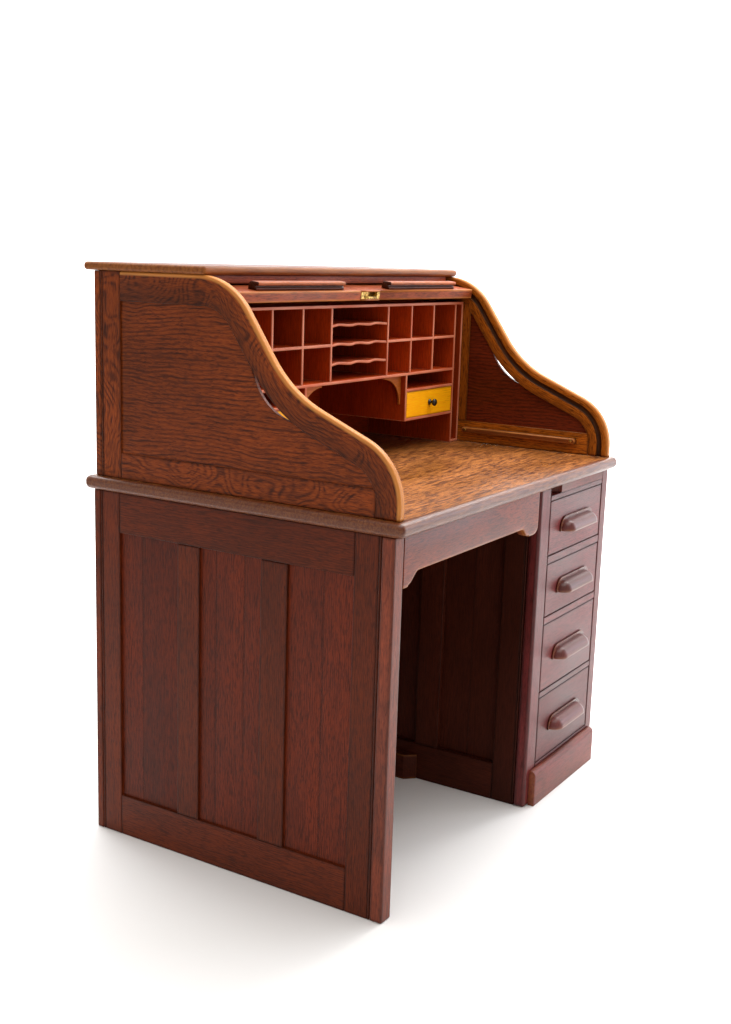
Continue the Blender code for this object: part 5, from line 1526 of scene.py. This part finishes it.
class DESK_OT_lead_rail(DeskBuilder, bpy.types.Operator):
    """Leading rail of the curtain with its two finger pulls and the lock"""

    bl_idname = "desk.lead_rail"
    bl_label = "Leading rail"

    def execute(self, context):
        tilt = math.radians(8.0)
        foot = np.array((0.0205, 1.1305))
        direction = np.array((math.cos(tilt), math.sin(tilt)))
        normal = np.array((-direction[1], direction[0]))
        low, high = corners("curtain_lead_rail")

        def tilted(profile, x, flags, end_shrink=0.0):
            """A profile carried along X; it holds each point's place along and square to the tilted rail."""
            profile = np.array(profile)
            world = foot + profile[:, :1] * direction + profile[:, 1:] * normal
            middle = world.mean(0)
            x = np.array(x)
            factor = np.ones(len(x))
            factor[[0, -1]] = 1 - end_shrink
            rings = np.empty((len(x), len(world), 3))
            rings[..., 0] = x[:, None]
            rings[..., 1:] = middle + (world - middle)[None] * factor[:, None, None]
            grain = rings.copy()
            grain[..., 1:] = profile
            return skin(rings, grain, np.atleast_2d(flags))

        half = RAIL_THICKNESS / 2
        centre = (RAIL_DEPTH / 2, 0.0)
        section, flags = moved_outline(RAIL_DEPTH, RAIL_THICKNESS, 0.0022, 4, FLAT_MARGIN, centre)
        lock_half = 0.0383
        pocket = 0.0303
        mouth_half = 0.0078
        ease = 0.003
        x_end = high[0]
        # the rail is in two lengths with the lock between them, framed by a piece behind, above and below it
        behind_at = ((RAIL_DEPTH + pocket) / 2, 0.0)
        behind, _ = moved_outline(RAIL_DEPTH - pocket, RAIL_THICKNESS, 0.0005, 1, FLAT_MARGIN, behind_at)
        lip_at = (half + mouth_half) / 2
        above, lip_flags = moved_outline(pocket, half - mouth_half, 0.0009, 2, 0.001, (pocket / 2, lip_at))
        below, _ = moved_outline(pocket, half - mouth_half, 0.0009, 2, 0.001, (pocket / 2, -lip_at))
        middle_x = [-lock_half, -0.01, 0.01, lock_half]
        parts = [
            tilted(section, [-x_end, -x_end + ease, -lock_half], flags, 0.03),
            tilted(section, [lock_half, x_end - ease, x_end], flags, 0.03),
            tilted(behind, middle_x, np.zeros(len(behind))),
            tilted(above, middle_x, lip_flags * 0.8),
            tilted(below, middle_x, lip_flags * 0.8),
        ]
        oak = finish("lead_oak")
        assemble("lead_rail_board", parts, "curtain_lead", oak, ["curtain_lead_rail"])

        base = 0.0113
        outline = [
            (0.0120, base),
            (0.0320, base),
            (0.0318, base + 0.006),
            (0.0305, base + 0.0118),
            (0.0285, base + 0.0148),
            (0.0255, base + 0.0163),
            (0.0110, base + 0.0165),
            (0.0092, base + 0.0160),
            (0.0082, base + 0.0148),
            (0.0082, base + 0.0108),
            (0.0092, base + 0.0098),
            (0.0140, base + 0.0090),
            (0.0150, base + 0.0080),
            (0.0150, base + 0.0062),
            (0.0140, base + 0.0053),
            (0.0120, base + 0.0045),
        ]
        # the pull's foot, its undercut and both ends are darkened: dirt where it meets the rail, painted
        # shade under the lip and at the ends
        edge_flags = [-0.6, -0.6, 0, 0.1, 0.5, 0.2, 0.2, 0.6, 0.5, 0.3, 0, -0.5, -1, -1, -0.8, -0.8]
        for side, name in ((-1, "left"), (1, "right")):
            pull_low, pull_high = corners(f"{name}_finger_pull")
            ends = (pull_low[0], pull_high[0])
            x = [ends[0], ends[0] + 0.0006, ends[0] + 0.002, ends[1] - 0.002, ends[1] - 0.0006, ends[1]]
            grip_dirt_and_shade = np.tile(np.array(edge_flags, float), (6, 1))
            grip_dirt_and_shade[[0, 1, -2, -1]] = -1.0
            part = tilted(outline, x, grip_dirt_and_shade, 0.05)
            replaced = [f"{name}_finger_pull"]
            assemble(f"{name}_finger_grip", [part], "curtain_lead", oak, replaced, False)

        # the lock is a lug at each end, a deep block between them and a lip along its floor
        lug, _ = moved_outline(0.0296, 0.015, 0.0006, 1, 0.001, (0.0152, 0.0))
        deep, _ = moved_outline(0.0196, 0.015, 0.0006, 1, 0.001, (0.0202, 0.0))
        lip, _ = moved_outline(0.0096, 0.0052, 0.0006, 1, 0.001, (0.0054, -0.0049))
        plain = np.zeros(len(lug))
        lug_x = np.array([0.0262, 0.0268, 0.0372, 0.038])
        between = [-lug_x[0], 0.0, lug_x[0]]
        parts = [
            tilted(lug, -lug_x[::-1], plain, 0.04),
            tilted(lug, lug_x, plain, 0.04),
            tilted(deep, between, plain),
            tilted(lip, between, plain),
        ]
        brass = finish("worn_brass")
        assemble("curtain_lock_case", parts, "curtain_lead", brass, ["curtain_lock"])
        return {"FINISHED"}


class DESK_OT_kept_parts(DeskBuilder, bpy.types.Operator):
    """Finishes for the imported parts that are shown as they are"""

    bl_idname = "desk.kept_parts"
    bl_label = "Kept parts"

    def execute(self, context):
        kept = {"pedestal_bottom": "raw_wood_along_x", "lock_strike": "worn_brass"}
        for number in range(1, 5):
            kept[f"drawer_{number}_box"] = "raw_wood_along_y"
        for node, key in kept.items():
            obj = frame["nodes"][node]
            obj.data.materials.clear()
            obj.data.materials.append(finish(key))
        return {"FINISHED"}


# ---------------------------------------------------------------- stage
class DESK_OT_stage(DeskBuilder, bpy.types.Operator):
    """Pale floor and wall, soft lights and the camera"""

    bl_idname = "desk.stage"
    bl_label = "Stage"

    def execute(self, context):
        self.sweep()
        self.lights()
        self.camera(context)
        return {"FINISHED"}

    def sweep(self):
        """Floor and wall as one sheet: level, a quarter circle, then upright, carried square to the view."""
        arc = np.radians(np.linspace(0, 90, 24))
        radius = 1.6
        reach = 2.4
        along = np.concatenate([[-7.0], reach + radius * np.sin(arc), [reach + radius]])
        up = np.concatenate([[0.0], radius * (1 - np.cos(arc)), [7.0]])
        azimuth = math.radians(-58.33)
        away = np.array((-math.sin(azimuth), math.cos(azimuth)))
        aside = np.array((math.cos(azimuth), math.sin(azimuth)))
        across = np.linspace(-9.0, 9.0, 3)
        points = np.empty((len(across), len(along), 3))
        points[..., :2] = along[None, :, None] * away + across[:, None, None] * aside
        points[..., 2] = up[None] - 0.0004
        rows, columns = points.shape[:2]
        index = np.arange(rows * columns).reshape(rows, columns)
        quads = np.stack([index[:-1, :-1], index[1:, :-1], index[1:, 1:], index[:-1, 1:]], -1).reshape(-1, 4)
        mesh = bpy.data.meshes.new("studio_floor")
        mesh.from_pydata(points.reshape(-1, 3).tolist(), [], quads.tolist())
        mesh.polygons.foreach_set("use_smooth", np.ones(len(mesh.polygons), bool))
        mesh.materials.append(painted_floor("painted_floor"))
        floor = bpy.data.objects.new("studio_floor", mesh)
        bpy.context.scene.collection.objects.link(floor)

    def lights(self):
        """A dim warm room, a large cool window, a soft light overhead and two lamps on the backdrop."""
        world = bpy.data.worlds.new("studio")
        world.use_nodes = True
        world.node_tree.nodes["Background"].inputs["Color"].default_value = (1.0, 0.97, 0.93, 1.0)
        world.node_tree.nodes["Background"].inputs["Strength"].default_value = 0.6
        bpy.context.scene.world = world
        lamps = (
            ("window", (3.6, -2.6, 1.5), (0.0, 0.0, 0.6), 2.6, 2.4, 56.0, (0.86, 0.89, 1.0)),
            ("overhead", (0.2, -0.4, 3.4), (0.0, 0.0, 0.6), 3.0, 3.0, 95.0, (1.0, 0.99, 0.97)),
            ("backdrop_left", (0.2, 2.2, 3.3), (3.0, 2.6, 0.6), 3.0, 1.4, 170.0, (1.0, 1.0, 1.0)),
            ("backdrop_right", (2.6, -0.6, 3.3), (3.4, 0.8, 0.6), 3.0, 1.4, 170.0, (1.0, 1.0, 1.0)),
        )
        for name, place, aim, width, height, power, tint in lamps:
            data = bpy.data.lights.new(name, "AREA")
            data.shape = "RECTANGLE"
            data.size = width
            data.size_y = height
            data.energy = power
            data.color = tint
            lamp = bpy.data.objects.new(name, data)
            lamp.location = place
            lamp.rotation_euler = (Vector(aim) - Vector(place)).to_track_quat("-Z", "Y").to_euler()
            bpy.context.scene.collection.objects.link(lamp)
        bpy.context.scene.view_settings.view_transform = "Standard"

    def camera(self, context):
        """The camera's axes come from an azimuth, an elevation and a small roll."""
        azimuth = math.radians(-58.3336)
        elevation = math.radians(11.4686)
        roll = math.radians(1.8299)
        level = math.cos(elevation)
        back = Vector((math.sin(azimuth) * level, -math.cos(azimuth) * level, math.sin(elevation)))
        right = (-back).cross(Vector((0, 0, 1))).normalized()
        up = right.cross(-back)
        right_rolled = math.cos(roll) * right + math.sin(roll) * up
        up_rolled = -math.sin(roll) * right + math.cos(roll) * up
        data = bpy.data.cameras.new("camera")
        data.sensor_width = 36.0
        data.lens = 44.212
        data.clip_start = 0.05
        data.clip_end = 60.0
        camera = bpy.data.objects.new("camera", data)
        place = Vector((-2.34541669, -1.43031762, 1.2126575))
        turn = Matrix((right_rolled, up_rolled, back)).transposed().to_4x4()
        camera.matrix_world = Matrix.Translation(place) @ turn
        context.scene.collection.objects.link(camera)
        context.scene.camera = camera


OPERATORS = (
    DESK_OT_left_end,
    DESK_OT_right_end,
    DESK_OT_kneehole,
    DESK_OT_pedestal_front,
    DESK_OT_drawers,
    DESK_OT_writing_top,
    DESK_OT_upper_sides,
    DESK_OT_top_and_back,
    DESK_OT_pigeonholes,
    DESK_OT_small_drawers,
    DESK_OT_curtain,
    DESK_OT_lead_rail,
    DESK_OT_kept_parts,
    DESK_OT_stage,
)


class DESK_PT_tools(bpy.types.Panel):
    """Lists every step of the desk"""

    bl_idname = "DESK_PT_tools"
    bl_label = "Roll Top Desk"
    bl_space_type = "VIEW_3D"
    bl_region_type = "UI"
    bl_category = "Desk"

    def draw(self, context):
        for operator in OPERATORS:
            self.layout.operator(operator.bl_idname)


CLASSES = (DeskSizes, DeskColours, *OPERATORS, DESK_PT_tools)


def register():
    for cls in CLASSES:
        bpy.utils.register_class(cls)
    bpy.types.Scene.desk_sizes = PointerProperty(type=DeskSizes)
    bpy.types.Scene.desk_colours = PointerProperty(type=DeskColours)


def unregister():
    del bpy.types.Scene.desk_colours
    del bpy.types.Scene.desk_sizes
    for cls in reversed(CLASSES):
        bpy.utils.unregister_class(cls)


def main():
    register()
    for operator in OPERATORS:
        group, name = operator.bl_idname.split(".")
        getattr(getattr(bpy.ops, group), name)()


if __name__ == "__main__":
    main()
